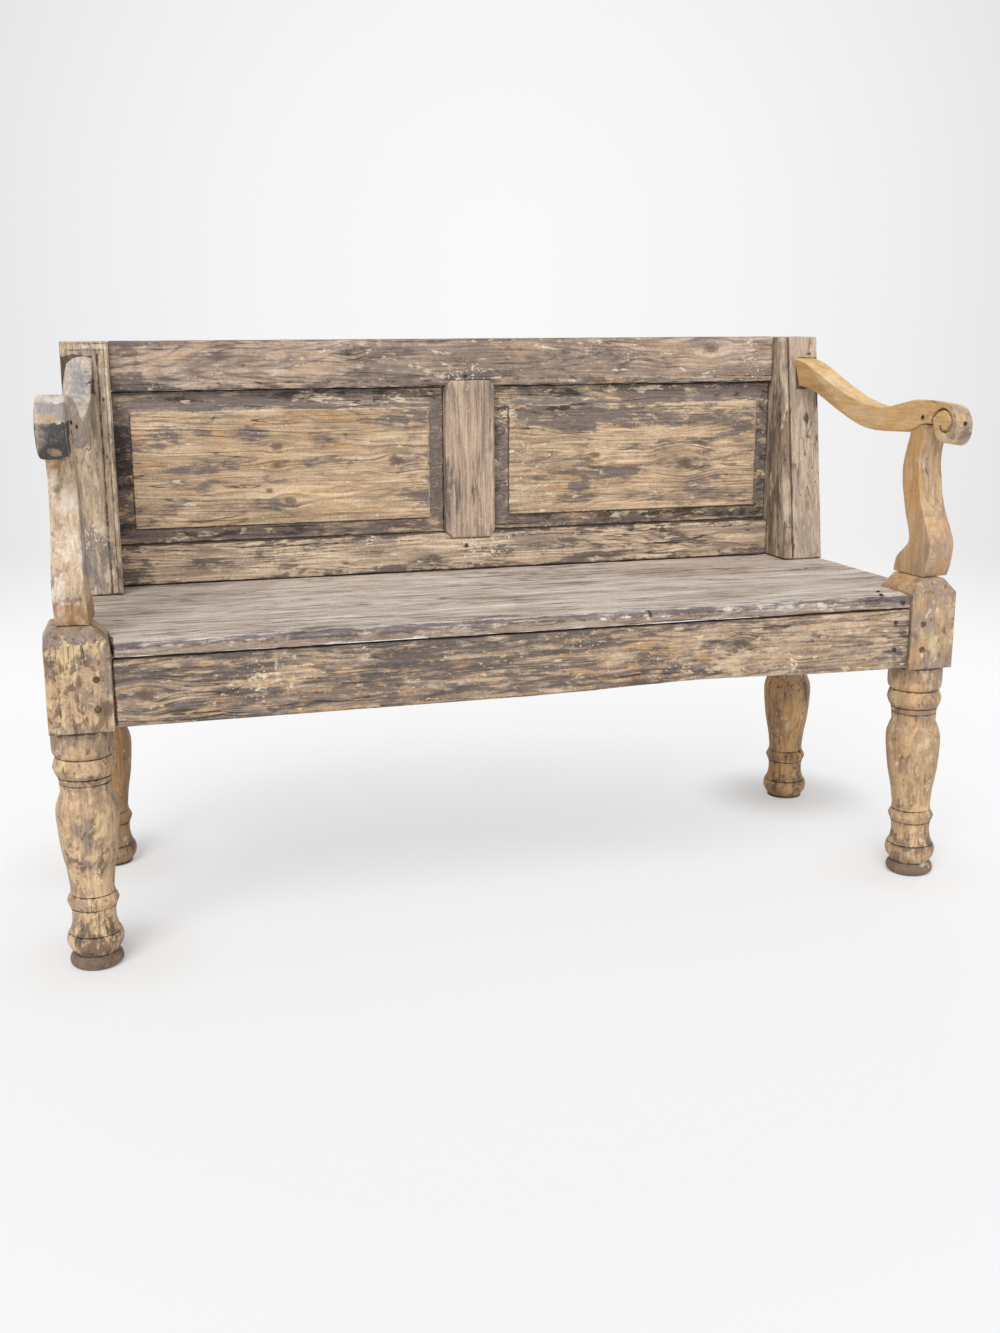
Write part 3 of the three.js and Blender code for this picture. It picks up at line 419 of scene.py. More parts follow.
def pine(name, along, wood, layers=(), knots=(), seed=0.0, rings=26, chips=None, roughness=0.78, relief=2.0,
         cracks=0.5, figure=0.9):
    material, tree = new_material(name)
    spot = add(tree, "TexCoord").outputs["Object"]
    shift = (seed, seed * 1.7, seed * 0.6)
    shifted = add(tree, "VectorMath", spot, shift, operation="ADD")

    wobble = add(tree, "TexNoise", shifted, Scale=16, Detail=3)
    wobble = add(tree, "VectorMath", wobble.outputs["Color"], (0.5, 0.5, 0.5), operation="SUBTRACT")
    wobble = add(tree, "VectorMath", wobble, [0.007] * 3, operation="MULTIPLY")
    lines_at = add(tree, "VectorMath", spot, wobble, operation="ADD")
    knot_near = None
    for centre, size in knots:
        offset = add(tree, "VectorMath", lines_at, centre, operation="SUBTRACT")
        shares = add(tree, "VectorMath", offset, [1 / s for s in stretch(along, size * 1.5, size)],
                     operation="MULTIPLY")
        far = add(tree, "VectorMath", shares, operation="LENGTH").outputs["Value"]
        pull = add(tree, "MapRange", far, 0, 4.5, 0.85, 0, interpolation_type="SMOOTHSTEP")
        moved = add(tree, "VectorMath", offset, operation="SCALE", Scale=pull)
        lines_at = add(tree, "VectorMath", lines_at, moved, operation="SUBTRACT")
        knot_near = far if knot_near is None else add(tree, "Math", knot_near, far, operation="MINIMUM")
    lines_at = add(tree, "VectorMath", lines_at, shift, operation="ADD")

    slow, fibres, streaks, clouds, broken, split = [
        add(tree, "TexNoise", add(tree, "VectorMath", at, stretch(along, long, across), operation="MULTIPLY"),
            Scale=1, Detail=detail, Roughness=rough)
        for at, long, across, detail, rough in (
            (lines_at, 1.3, 17, 1.5, 0.45), (lines_at, 9, 260, 4, 0.7), (lines_at, 4, 70, 5, 0.65),
            (shifted, 9, 22, 4, 0.6), (shifted, 45, 90, 5, 0.65), (lines_at, 2.4, 80, 1, 0.5))]
    turns = add(tree, "Math", slow, rings * 2 * pi, operation="MULTIPLY")
    tone = add(tree, "MapRange", add(tree, "Math", turns, operation="SINE"), -1, -0.2, -0.10, 0)
    for part, share in ((fibres, 0.42), (streaks, 0.42), (clouds, 0.31)):
        tone = add(tree, "Math", tone, add(tree, "Math", part, share, operation="MULTIPLY"), operation="ADD")
    colour = add(tree, "ValToRGB", tone, stops=[
        (0.53 - 0.16 / figure, wood[0]), (0.53, wood[1]), (0.53 + 0.15 / figure, wood[2])])
    height = add(tree, "Math", tone, 0.8, operation="MULTIPLY")

    ragged = add(tree, "MapRange", broken, 0.25, 0.75, -0.6, 0.6)
    for number, layer in enumerate(layers):
        step = seed + 3.1 * (number + 1)
        at = add(tree, "VectorMath", spot, (step, step * 0.7, step * 1.3), operation="ADD")
        at = add(tree, "VectorMath", at, stretch(along, *layer["grain"]), operation="MULTIPLY")
        amount = add(tree, "TexNoise", at, Scale=1, Detail=7, Roughness=0.68, Distortion=layer["swirl"])
        follow = layer["follow"] * figure
        amount = add(tree, "Math", amount, add(tree, "MapRange", tone, *TONE_SPAN, follow, -follow),
                     operation="ADD")
        for mark in layer["marks"]:
            amount = add(tree, "Math", amount, mark_mask(tree, spot, mark, ragged), operation="ADD")
        soft = layer["soft"] * 1.4
        mask = add(tree, "MapRange", amount, layer["level"] - soft, layer["level"] + soft, 0, layer["cover"],
                   interpolation_type="SMOOTHSTEP")
        colour = add(tree, "MixRGB", mask, colour, linear(layer["colour"]))
        if layer["thick"]:
            height = add(tree, "Math", height,
                         add(tree, "Math", mask, layer["thick"], operation="MULTIPLY"), operation="ADD")

    grain = add(tree, "Math", fibres, add(tree, "TexNoise", shifted, Scale=230, Detail=4, Roughness=0.7),
                operation="ADD")
    grain = add(tree, "MapRange", grain, 0.75, 1.25, 1 - 0.29 * figure, 1 + 0.27 * figure)
    colour = add(tree, "VectorMath", colour, operation="SCALE", Scale=grain)

    if knot_near is not None:
        blur = add(tree, "Math", ragged, 1.6, operation="MULTIPLY")
        heart = add(tree, "MapRange", add(tree, "Math", knot_near, blur, operation="ADD"), 1.5, 0.4, 0, 0.72,
                    interpolation_type="SMOOTHSTEP")
        colour = add(tree, "MixRGB", heart, colour, linear(KNOT_HEART))
    if chips:
        code, level, *marks = chips
        grit = add(tree, "VectorMath", shifted, stretch(along, 190, 330), operation="MULTIPLY")
        grit = add(tree, "TexNoise", grit, Scale=1, Detail=2)
        clump = add(tree, "TexNoise", shifted, Scale=13, Detail=3)
        amount = add(tree, "Math", grit, add(tree, "Math", clump, 0.9, operation="MULTIPLY"), operation="ADD")
        for mark in marks:
            amount = add(tree, "Math", amount, mark_mask(tree, spot, mark, ragged), operation="ADD")
        mask = add(tree, "MapRange", amount, level, level + 0.03, 0, 0.85)
        colour = add(tree, "MixRGB", mask, colour, linear(code))
        chip = add(tree, "Math", mask, 0.15, operation="MULTIPLY")
        height = add(tree, "Math", height, chip, operation="ADD")

    split = add(tree, "Math", add(tree, "Math", split, 0.5, operation="SUBTRACT"), operation="ABSOLUTE")
    where = add(tree, "TexNoise", shifted, Scale=8, Detail=2)
    where = add(tree, "MapRange", where, cracks, cracks + 0.1, 0, 1)
    crack = add(tree, "Math", add(tree, "MapRange", split, 0.003, 0.011, 0.8, 0), where, operation="MULTIPLY")
    colour = add(tree, "MixRGB", crack, colour, linear(CRACK_SHADE))
    height = add(tree, "Math", height, crack, operation="SUBTRACT")

    bump = add(tree, "Bump", Strength=1.0, Distance=relief * MM, Height=height)
    gloss = add(tree, "MapRange", tone, *TONE_SPAN, min(1, roughness + 0.1), roughness - 0.08)
    shader = add(tree, "BsdfPrincipled", colour, Roughness=gloss, IOR=1.45, Normal=bump)
    shader.inputs["Specular IOR Level"].default_value = 0.3
    add(tree, "OutputMaterial", shader)
    return material


print("pine ready")

# %% [markdown]
# Where the main edges of the bench lie, in metres from the middle of the bench on the floor. Left and right
# are as seen from the front. Boards stay clear of each other by CLEAR, and a corner within TOUCH of a place
# counts as lying there.

# %% Places on the bench
POST_IN = (-0.580, 0.590)
POST_OUT = (-0.655, 0.665)
BLOCK_IN = (-0.617, 0.627)
BLOCK_OUT = (-0.707, 0.707)
BLOCK_FRONT = -0.244
BLOCK_BACK = -0.142
BLOCK_FOOT = 0.357
BLOCK_SHOULDER = 0.4823
BLOCK_TOP = 0.5033
APRON_FOOT, APRON_TOP = 0.361, 0.458
SEAT_FOOT, SEAT_TOP = 0.4583, 0.4823
BACK = 0.270
RAIL_FACE, RAIL_BACK = 0.206, 0.242
TOP_RAIL_FOOT, BENCH_TOP = 0.800, 0.880
LOW_RAIL_FOOT, LOW_RAIL_TOP = 0.4826, 0.5486
MUNTIN_X = (-0.026, 0.062)
REAR_BLOCK_X = (-0.6255, 0.6555)
REAR_BLOCK_HALF, REAR_BLOCK_FRONT, REAR_BLOCK_FOOT = 0.044, 0.183, 0.339
BENCH_MIDDLE = 0.005
CLEAR = 0.0003
TOUCH = 0.001
ENDS = (("left", 0, -1), ("right", 1, 1))

# %% [markdown]
# The legs were stripped and waxed to honey. Grooves were cut between the beads, and painted shade darkens
# them and a band under the block. Grime has stayed on the caps, brown grime and painted shade darken the foot
# near the floor, and the front legs keep remains of paint.

# %% Leg finishes
TOOL_LINES = (0.0205, 0.0515, 0.0895, 0.1105, 0.2770, 0.2862, 0.3162)
REAR_DROP = 0.018
LEG_ROUND = 0.08


def leg_look(node, seed, centre, neck, wood, drop=0.0, layers=(), knots=()):
    def belt(height, half, push, **edge):
        return box((*centre, height), (LEG_ROUND, LEG_ROUND, half), push, **edge)

    # painted shade in the grooves between the beads and in a line under the block
    lines = [belt(height - drop, 0.0009, 0.6, wander=0.002) for height in TOOL_LINES]
    lines.append(belt(neck - 0.001, 0.0016, 0.6, wander=0.003))
    caps = [belt(neck - 0.013, 0.012, 0.13), belt(0.284 - drop, 0.012, 0.12), belt(0.100 - drop, 0.008, 0.08)]
    # foot marks: brown grime and painted shade near the floor, and painted shade in a band under the block
    foot = [belt(0.009 - drop / 2, 0.013 - drop / 2, 0.30, wander=0.01), belt(0.040 - drop / 2, 0.035, 0.10),
            belt(0.0515 - drop, 0.005, 0.08), belt(neck - 0.004, 0.004, 0.10)]
    return pine(
        f"honey pine, {node.replace('_', ' ')}", "Z", wood, seed=seed, rings=14, relief=1.4, knots=knots,
        roughness=0.48, figure=0.45, cracks=0.56, layers=[
            coat("#a58b6f", 0.52, 0.09, 0.6, (9, 16), swirl=0.4),
            coat("#8c7461", 0.565, 0.05, 0.7, (22, 32), *caps),
            *layers,
            coat("#64554b", 0.66, 0.05, 0.8, (26, 34), *foot),
            coat(STAIN, 0.605, 0.025, 0.8, (56, 80)),
            coat(CREAM, 0.635, 0.025, 0.6, (40, 56), follow=0),
            shade_line(*lines)])


LEG_LOOKS = {
    "front_left_leg": leg_look(
        "front_left_leg", 1.3, (-0.662, -0.198), BLOCK_FOOT, ("#a07d59", "#cba985", "#e6cdac"),
        knots=[((-0.676, -0.238, 0.268), 0.006)], layers=[
            coat("#7d7068", 0.6, 0.06, 0.8, (22, 32), box((-0.662, -0.22, 0.497), (0.06, 0.04, 0.02), 0.2),
                 box((-0.662, -0.244, 0.42), (0.05, 0.02, 0.075), 0.09),
                 box((-0.624, -0.244, 0.42), (0.008, 0.02, 0.075), 0.06),
                 blob((-0.668, -0.245, 0.2), (0.012, 0.03, 0.05), 0.1)),
            coat("#d9c091", 0.6, 0.04, 0.8, (22, 30), box((-0.67, -0.244, 0.425), (0.035, 0.02, 0.06), 0.06),
                 blob((-0.66, -0.245, 0.31), (0.05, 0.05, 0.015), 0.08), swirl=0.8),
            # brown stains; the blob at the foot also darkens it with painted shade near the floor
            coat("#6b5444", 0.62, 0.03, 0.8, (30, 44),
                 blob((-0.655, -0.24, 0.185), (0.04, 0.05, 0.05), 0.05),
                 blob((-0.655, -0.24, 0.07), (0.05, 0.05, 0.03), 0.04),
                 blob((-0.655, -0.24, 0.03), (0.05, 0.06, 0.025), 0.16),
                 box((-0.662, -0.244, 0.41), (0.05, 0.02, 0.06), 0.085), swirl=0.5)]),
    "front_right_leg": leg_look(
        "front_right_leg", 5.1, (0.667, -0.198), BLOCK_FOOT, ("#93704a", "#bf9a71", "#dabd97"),
        knots=[((0.655, -0.235, 0.225), 0.005)], layers=[
            coat("#8d8078", 0.6, 0.06, 0.75, (16, 28), box((0.667, -0.244, 0.43), (0.05, 0.012, 0.08), 0.1),
                 box((0.667, -0.235, 0.493), (0.05, 0.03, 0.014), 0.1)),
            coat("#dcc6a0", 0.61, 0.05, 0.7, (16, 28)),
            coat("#6b5444", 0.63, 0.03, 0.8, (26, 50))]),
    "rear_left_leg": leg_look("rear_left_leg", 7.7, (-0.6247, 0.2265), REAR_BLOCK_FOOT,
                              ("#6b4e34", "#a6805a", "#cba981"), REAR_DROP),
    "rear_right_leg": leg_look(
        "rear_right_leg", 9.2, (0.6563, 0.2265), REAR_BLOCK_FOOT, ("#86623f", "#c89c6c", "#e4c294"),
        REAR_DROP, layers=[
            coat("#5a4332", 0.6, 0.04, 0.8, (12, 40), blob((0.63, 0.19, 0.29), (0.02, 0.03, 0.03), 0.08))]),
}


# %% [markdown]
# A leg starts as a circle on the floor. The circle is extruded ring by ring, and each new ring is scaled to
# the radius that the solid has there, which draws the beads, the vase and the shoulders as a lathe would. The
# square block over it is a cube. On a front leg its head is chamfered by three slices, in front and at both
# sides.

# %% Legs
RING_SIDES = 64
LINE_HALF, LINE_DEEP = 0.0011, 0.0014
STUB, STUB_SHARE = 0.006, 0.8
CHAMFER = 0.021
FRONT_RISE, INNER_RISE, OUTER_RISE = 0.020, 0.024, 0.012


def turned_rings(node, neck):
    heights = {}
    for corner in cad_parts[node].data.vertices:
        if corner.co.z < neck:
            heights.setdefault(round(corner.co.z, 5), []).append(corner.co)
    rings = []
    for height in sorted(heights):
        ring = heights[height]
        xs, ys = [co.x for co in ring], [co.y for co in ring]
        middle = Vector(((min(xs) + max(xs)) / 2, (min(ys) + max(ys)) / 2, height))
        rings.append((middle, (max(xs) - min(xs)) / 2))
    return rings


def turning(name, node, neck, lines):
    rings = turned_rings(node, neck - 0.0005)
    for height in lines:
        place = next(i for i, (middle, _) in enumerate(rings) if middle.z > height)
        (under, narrow), (over, wide) = rings[place - 1], rings[place]
        share = (height - under.z) / (over.z - under.z)
        middle, radius = under.lerp(over, share), narrow + (wide - narrow) * share
        rings = [ring for ring in rings if abs(ring[0].z - height) > LINE_HALF * 1.3]
        place = next(i for i, ring in enumerate(rings) if ring[0].z > height)
        rings[place:place] = [(middle + Vector((0, 0, step)), radius - deep)
                              for step, deep in ((-LINE_HALF, 0), (0, LINE_DEEP), (LINE_HALF, 0))]
    last, radius = rings[-1]
    rings.append((Vector((last.x, last.y, neck)), radius))
    rings.append((Vector((last.x, last.y, neck + STUB)), radius * STUB_SHARE))
    object_mode()
    middle, radius = rings[0]
    bpy.ops.mesh.primitive_circle_add(vertices=RING_SIDES, radius=radius, fill_type="NGON", location=middle)
    piece = bpy.context.object
    piece.name = piece.data.name = name
    bpy.ops.object.transform_apply(location=True, rotation=True, scale=True)
    bpy.ops.object.mode_set(mode="EDIT")
    bpy.ops.mesh.select_all(action="SELECT")
    for upper, wider in rings[1:]:
        step = upper - middle
        bpy.ops.mesh.extrude_region_move(TRANSFORM_OT_translate={"value": step})
        share = wider / radius
        bpy.ops.transform.resize(value=(share, share, 1), center_override=upper)
        middle, radius = upper, wider
    bpy.ops.object.mode_set(mode="OBJECT")
    return piece


for end, i, side in ENDS:
    node = f"front_{end}_leg"
    low_x, high_x = sorted((BLOCK_IN[i], BLOCK_OUT[i]))
    head = board(f"{end}_front_block", (low_x, BLOCK_FRONT, BLOCK_FOOT), (high_x, BLOCK_BACK, BLOCK_TOP))
    slice_off(head, (0, BLOCK_FRONT, BLOCK_SHOULDER), (0, -CHAMFER, FRONT_RISE))
    slice_off(head, (BLOCK_IN[i], 0, BLOCK_SHOULDER), (-side * CHAMFER, 0, INNER_RISE))
    slice_off(head, (BLOCK_OUT[i], 0, BLOCK_SHOULDER), (side * CHAMFER, 0, OUTER_RISE))
    wear(head, 2.0, rounding=5)
    leg = join(head, turning(f"{end}_front_turning", node, BLOCK_FOOT, TOOL_LINES))
    leg.name = leg.data.name = f"{end}_front_leg_worn"
    finish(leg, [node], LEG_LOOKS[node], angle=32)

    node = f"rear_{end}_leg"
    head = board(f"{end}_rear_block", (REAR_BLOCK_X[i] - REAR_BLOCK_HALF, REAR_BLOCK_FRONT, REAR_BLOCK_FOOT),
                 (REAR_BLOCK_X[i] + REAR_BLOCK_HALF, BACK, APRON_TOP))
    wear(head, 2.5, rounding=4)
    lines = [height - REAR_DROP for height in TOOL_LINES[1:]]
    leg = join(head, turning(f"{end}_rear_turning", node, REAR_BLOCK_FOOT, lines))
    leg.name = leg.data.name = f"{end}_rear_leg_worn"
    finish(leg, [node], LEG_LOOKS[node], angle=32)

# %% [markdown]
# The four aprons are plain boards between the blocks. The front one is sliced across a few times, so that
# the corners of its lower edge can be lifted where the edge was planed hollow. HOLLOW gives each slice and
# its lift in millimetres.

# %% Aprons
APRON_SET_BACK, APRON_BACK = 0.002, 0.026
HOLLOW = [(0.08, 1.5), (0.17, 4.5), (0.26, 6.0), (0.35, 4.5), (0.44, 1.5)]
HOLLOW_ENDS = [(-0.02, 0), (0.54, 0)]
REAR_APRON_X = (-0.5812, 0.6112)
SIDE_FRONT, SIDE_BACK, SIDE_HALF = 0.668, 0.6545, 0.012
PLAIN = ("#5f5045", "#9c846d", "#c3aa8c")
front_look = pine(
    "painted pine, front apron", "X", ("#594b42", "#988270", "#c4ad95"), seed=2.2, rings=24, relief=2.5,
    chips=("#e9dcc2", 1.22), knots=[((-0.575, -0.242, 0.405), 0.009), ((0.33, -0.242, 0.42), 0.006)],
    layers=[
        coat("#776860", 0.48, 0.07, 0.8, (6, 28),
             box((0.46, -0.242, 0.41), (0.17, 0.02, 0.07), -0.12, wander=0.1)),
        coat("#bd9569", 0.585, 0.035, 0.7, (34, 100), blob((0.17, -0.242, 0.4), (0.13, 0.05, 0.035), 0.06),
             blob((-0.35, -0.242, 0.4), (0.15, 0.05, 0.035), 0.03), follow=-0.04),
        coat(SLATE, 0.545, 0.035, 0.8, (16, 64), blob((0.6, -0.242, 0.41), (0.05, 0.05, 0.07), 0.03),
             blob((-0.17, -0.242, 0.43), (0.22, 0.05, 0.03), 0.05),
             blob((-0.5, -0.242, 0.375), (0.12, 0.05, 0.015), 0.04),
             box((0.0, -0.242, 0.455), (0.62, 0.02, 0.004), 0.08),
             box((-0.18, -0.242, 0.41), (0.45, 0.02, 0.06), 0.02, wander=0.1),
             box((0.44, -0.242, 0.41), (0.15, 0.02, 0.06), -0.09, wander=0.1), follow=0.1),
        coat("#cdb79c", 0.6, 0.05, 0.7, (16, 50),
             box((0.44, -0.242, 0.41), (0.16, 0.02, 0.045), 0.08, wander=0.1), follow=0),
        coat("#dcc4a0", 0.615, 0.02, 0.8, (40, 110), blob((-0.4, -0.242, 0.42), (0.08, 0.05, 0.03), 0.03),
             follow=0, thick=0.25),
        coat(CREAM, 0.6, 0.03, 0.7, (70, 22), box((0, -0.242, 0.41), (0.7, 0.02, 0.06), -0.15),
             blob((-0.38, -0.242, 0.41), (0.02, 0.05, 0.04), 0.19),
             blob((0.12, -0.242, 0.4), (0.012, 0.05, 0.035), 0.17), follow=0),
        # painted shade in the joints where the apron meets the two blocks
        shade_line(box((-0.617, -0.242, 0.41), (0.0034, 0.02, 0.06), 0.6, wander=0.003),
            box((0.627, -0.242, 0.41), (0.0016, 0.02, 0.06), 0.6, wander=0.002), soft=0.1, cover=0.9)])
plain_look, side_look = [
    pine(f"painted pine, {which} aprons", along, PLAIN, seed=seed, rings=24,
         layers=[coat(SLATE, 0.52, 0.04, 0.8, (8, 50))])
    for which, along, seed in (("other", "X", 12.4), ("side", "Y", 13.9))]

apron = board("front_apron_board", (BLOCK_IN[0] + CLEAR, BLOCK_FRONT + APRON_SET_BACK, APRON_FOOT),
              (BLOCK_IN[1] - CLEAR, BLOCK_FRONT + APRON_BACK, APRON_TOP))
for x, _ in [HOLLOW_ENDS[0], *HOLLOW, HOLLOW_ENDS[1]]:
    slice_off(apron, (x, 0, 0), (1, 0, 0), keep=True)
for x, lift in HOLLOW:
    pick(apron, "VERT", lambda co, x=x: abs(co.x - x) < TOUCH and co.z < APRON_FOOT + TOUCH)
    bpy.ops.transform.translate(value=(0, 0, lift * MM))
bpy.ops.object.mode_set(mode="OBJECT")
wear(apron, 3.0, rounding=4)
finish(apron, ["front_apron"], front_look)

low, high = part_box("rear_apron")
apron = board("rear_apron_board", (REAR_APRON_X[0], low.y, APRON_FOOT), (REAR_APRON_X[1], high.y, APRON_TOP))
finish(wear(apron, 4.0, rounding=3), ["rear_apron"], plain_look)

for end, i, side in ENDS:
    middle = BENCH_MIDDLE + side * (SIDE_FRONT - SIDE_HALF)
    apron = board(f"{end}_side_apron_board", (middle - SIDE_HALF, BLOCK_BACK + CLEAR, APRON_FOOT),
                  (middle + SIDE_HALF, REAR_BLOCK_FRONT - CLEAR, APRON_TOP))
    pick(apron, "VERT", lambda co: co.y > 0)
    bpy.ops.transform.translate(value=(-side * (SIDE_FRONT - SIDE_BACK) * 0.8, 0, 0))
    bpy.ops.object.mode_set(mode="OBJECT")
    finish(wear(apron, 3.0, rounding=3), [f"{end}_side_apron"], side_look)

# %% [markdown]
# The seat is one wide plank. Its cube reaches from block to block, a slice behind the blocks gives two end
# faces, and these are extruded outwards to make the ears behind the blocks. The nose is bevelled round and
# then pressed in more than the rest, because that is where legs have rubbed it.

# %% Seat
SEAT_HALF_FRONT, SEAT_HALF_BACK = 0.676, 0.662
NOSE_ROUND, NOSE_REACH, NOSE_RUB = 0.009, 0.03, 0.005
seat_look = pine("silver pine, seat", "X", DRIFTWOOD, seed=3.4, rings=22, relief=2.0, roughness=0.8, layers=[
    coat("#a8917e", 0.53, 0.1, 0.55, (1.8, 12)),
    coat("#d6ccc4", 0.56, 0.06, 0.6, (4, 40), follow=-0.04),
    coat("#837973", 0.585, 0.04, 0.7, (5, 60),
         box((0, -0.24, 0.476), (0.63, 0.014, 0.03), 0.07, wander=0.05)),
    coat("#8d7763", 0.6, 0.06, 0.75, (6, 50),
         box((0, -0.246, 0.465), (0.63, 0.008, 0.01), 0.16, wander=0.008), follow=-0.03),
    coat("#5f5557", 0.6, 0.06, 0.8, (14, 50),
         box((0, -0.24, 0.4785), (0.63, 0.01, 0.0055), 0.17, wander=0.012),
         box((0, -0.1, 0.482), (0.63, 0.1, 0.01), -0.03)),
    coat(CHALK, 0.63, 0.03, 0.75, (14, 60),
         box((0, -0.228, 0.482), (0.63, 0.0035, 0.004), 0.13, wander=0.01), follow=0),
    # a small dark spot on the nose, and painted shade in the joint by the left block and where the bottom
    # rail stands on the seat
    shade_line(blob((0.178, -0.238, 0.479), (0.0025, 0.012, 0.01), 0.6, rough=0.3),
        box((-0.617, -0.215, 0.47), (0.0048, 0.03, 0.02), 0.6, wander=0.003),
        box((0.0, 0.224, 0.4823), (0.585, 0.0205, 0.01), 0.6, wander=0.004), soft=0.1, cover=0.85)])
seat = board("seat_plank", (BLOCK_IN[0] + CLEAR, BLOCK_FRONT, SEAT_FOOT),
             (BLOCK_IN[1] - CLEAR, BACK, SEAT_TOP))
slice_off(seat, (0, BLOCK_BACK + CLEAR, 0), (0, 1, 0), keep=True)
for end, i, side in ENDS:
    pick(seat, "FACE", lambda co, normal, side=side: normal.x * side > 0.9 and co.y > BLOCK_BACK)
    reach = BENCH_MIDDLE + side * SEAT_HALF_FRONT - BLOCK_IN[i]
    bpy.ops.mesh.extrude_region_move(TRANSFORM_OT_translate={"value": (reach, 0, 0)})
    pick(seat, "VERT", lambda co, side=side: (co.x - BENCH_MIDDLE) * side > 0.66 and co.y > BACK - TOUCH)
    bpy.ops.transform.translate(value=(side * (SEAT_HALF_BACK - SEAT_HALF_FRONT), 0, 0))
pick(seat, "EDGE", lambda co: co.y < BLOCK_FRONT + TOUCH and co.z > SEAT_TOP - TOUCH)
bpy.ops.mesh.bevel(offset=NOSE_ROUND, segments=5)
bpy.ops.object.mode_set(mode="OBJECT")
wear(seat, 4.0, rounding=3, depth=1.2)
weigh(seat, "nose", lambda co: 1 - (co.y - BLOCK_FRONT) / NOSE_REACH)
reshape(seat, "rubbed nose", "DISPLACE", texture=dents, vertex_group="nose", strength=NOSE_RUB, mid_level=1.0)
finish(seat, ["seat"], seat_look)

# %% [markdown]
# A post is a board on edge whose front is sliced back from the seat to the head. Two slices and a short
# extrusion press in the line that runs down its face.

# %% Posts
POST_FOOT_FRONT, POST_HEAD_FRONT, POST_HEAD = 0.130, 0.186, 0.879
WORKED_LINE, WORKED_DEEP = (0.0165, 0.0205), 0.0035
post_looks = {
    "left": pine(
        "silver pine, left post", "Z", ("#7d6c5d", "#b49c83", "#d5c0a3"), seed=4.6, rings=20, figure=0.7,
        chips=("#e7dcc8", 1.23), layers=[
            coat("#8f847b", 0.53, 0.07, 0.75, (5, 36)),
            coat("#74727a", 0.72, 0.12, 0.75, (10, 24),
                 blob((-0.618, 0.14, 0.535), (0.022, 0.06, 0.06), 0.28)),
            coat("#5d5857", 0.6, 0.05, 0.75, (14, 40), box((-0.585, 0.16, 0.7), (0.004, 0.05, 0.2), 0.05)),
            coat(CREAM, 0.61, 0.04, 0.7, (18, 46),
                 box((-0.6175, 0.19, 0.8715), (0.034, 0.05, 0.003), 0.14, wander=0.01),
                 box((-0.586, 0.19, 0.72), (0.003, 0.05, 0.15), 0.08, wander=0.01),
                 blob((-0.605, 0.15, 0.66), (0.02, 0.06, 0.1), 0.03)),
            # painted shade in thin lines along the post's edges and across its head
            shade_line(box((-0.5885, 0.16, 0.68), (0.001, 0.06, 0.2), 0.5, wander=0.0015),
                box((-0.5825, 0.18, 0.72), (0.0007, 0.06, 0.16), 0.5, wander=0.0015),
                box((-0.652, 0.18, 0.75), (0.0007, 0.06, 0.13), 0.5, wander=0.0015),
                box((-0.6175, 0.19, 0.8762), (0.036, 0.05, 0.0006), 0.5, wander=0.0015),
                box((-0.6175, 0.19, 0.8665), (0.03, 0.05, 0.0009), 0.5, wander=0.0015), colour="#574a40",
                soft=0.2, cover=0.75),
            # a small dark spot, and painted shade in the worked line, round the root of the arm and where the
            # post stands on the seat
            shade_line(box((-0.5985, 0.16, 0.66), (0.0012, 0.06, 0.2), 0.6, wander=0.003),
                blob((-0.593, 0.165, 0.79), (0.0025, 0.02, 0.004), 0.6, rough=0.3),
                box((-0.6325, 0.178, 0.829), (0.027, 0.01, 0.0295), 0.6, wander=0.007),
                box((-0.62, 0.17, 0.4826), (0.06, 0.12, 0.0025), 0.6, wander=0.003))]),
    "right": pine(
        "silver pine, right post", "Z", ("#8f7d6c", "#bba792", "#d3c3af"), seed=6.4, rings=20, figure=0.5,
        knots=[((0.638, 0.165, 0.733), 0.006)], layers=[
            coat("#8b8076", 0.56, 0.08, 0.6, (5, 36)),
            # these two coats are pushed onto the post's left face and the strip beside it as painted shade;
            # the first also gives brown patches elsewhere
            coat("#7c6654", 0.62, 0.06, 0.75, (8, 40),
                 box((0.598, 0.18, 0.68), (0.01, 0.06, 0.2), 0.13, wander=0.006)),
            coat("#665a50", 0.64, 0.04, 0.75, (12, 50), box((0.591, 0.2, 0.7), (0.003, 0.06, 0.2), 0.1)),
            coat(CREAM, 0.63, 0.025, 0.7, (18, 60)),
            # a dark knot and a small spot, and painted shade in the worked line, round the root of the arm
            # and where the post stands on the seat
            shade_line(box((0.6085, 0.16, 0.68), (0.0018, 0.06, 0.22), 0.6, wander=0.0015),
                blob((0.641, 0.163, 0.733), (0.004, 0.02, 0.011), 0.6),
                blob((0.648, 0.18, 0.849), (0.006, 0.02, 0.0025), 0.6, rough=0.3),
                box((0.6465, 0.178, 0.815), (0.0255, 0.01, 0.028), 0.6, wander=0.004),
                box((0.62, 0.17, 0.4826), (0.06, 0.12, 0.0025), 0.6, wander=0.003))]),
}
lean = Vector((0, -(POST_HEAD - LOW_RAIL_FOOT), POST_HEAD_FRONT - POST_FOOT_FRONT))
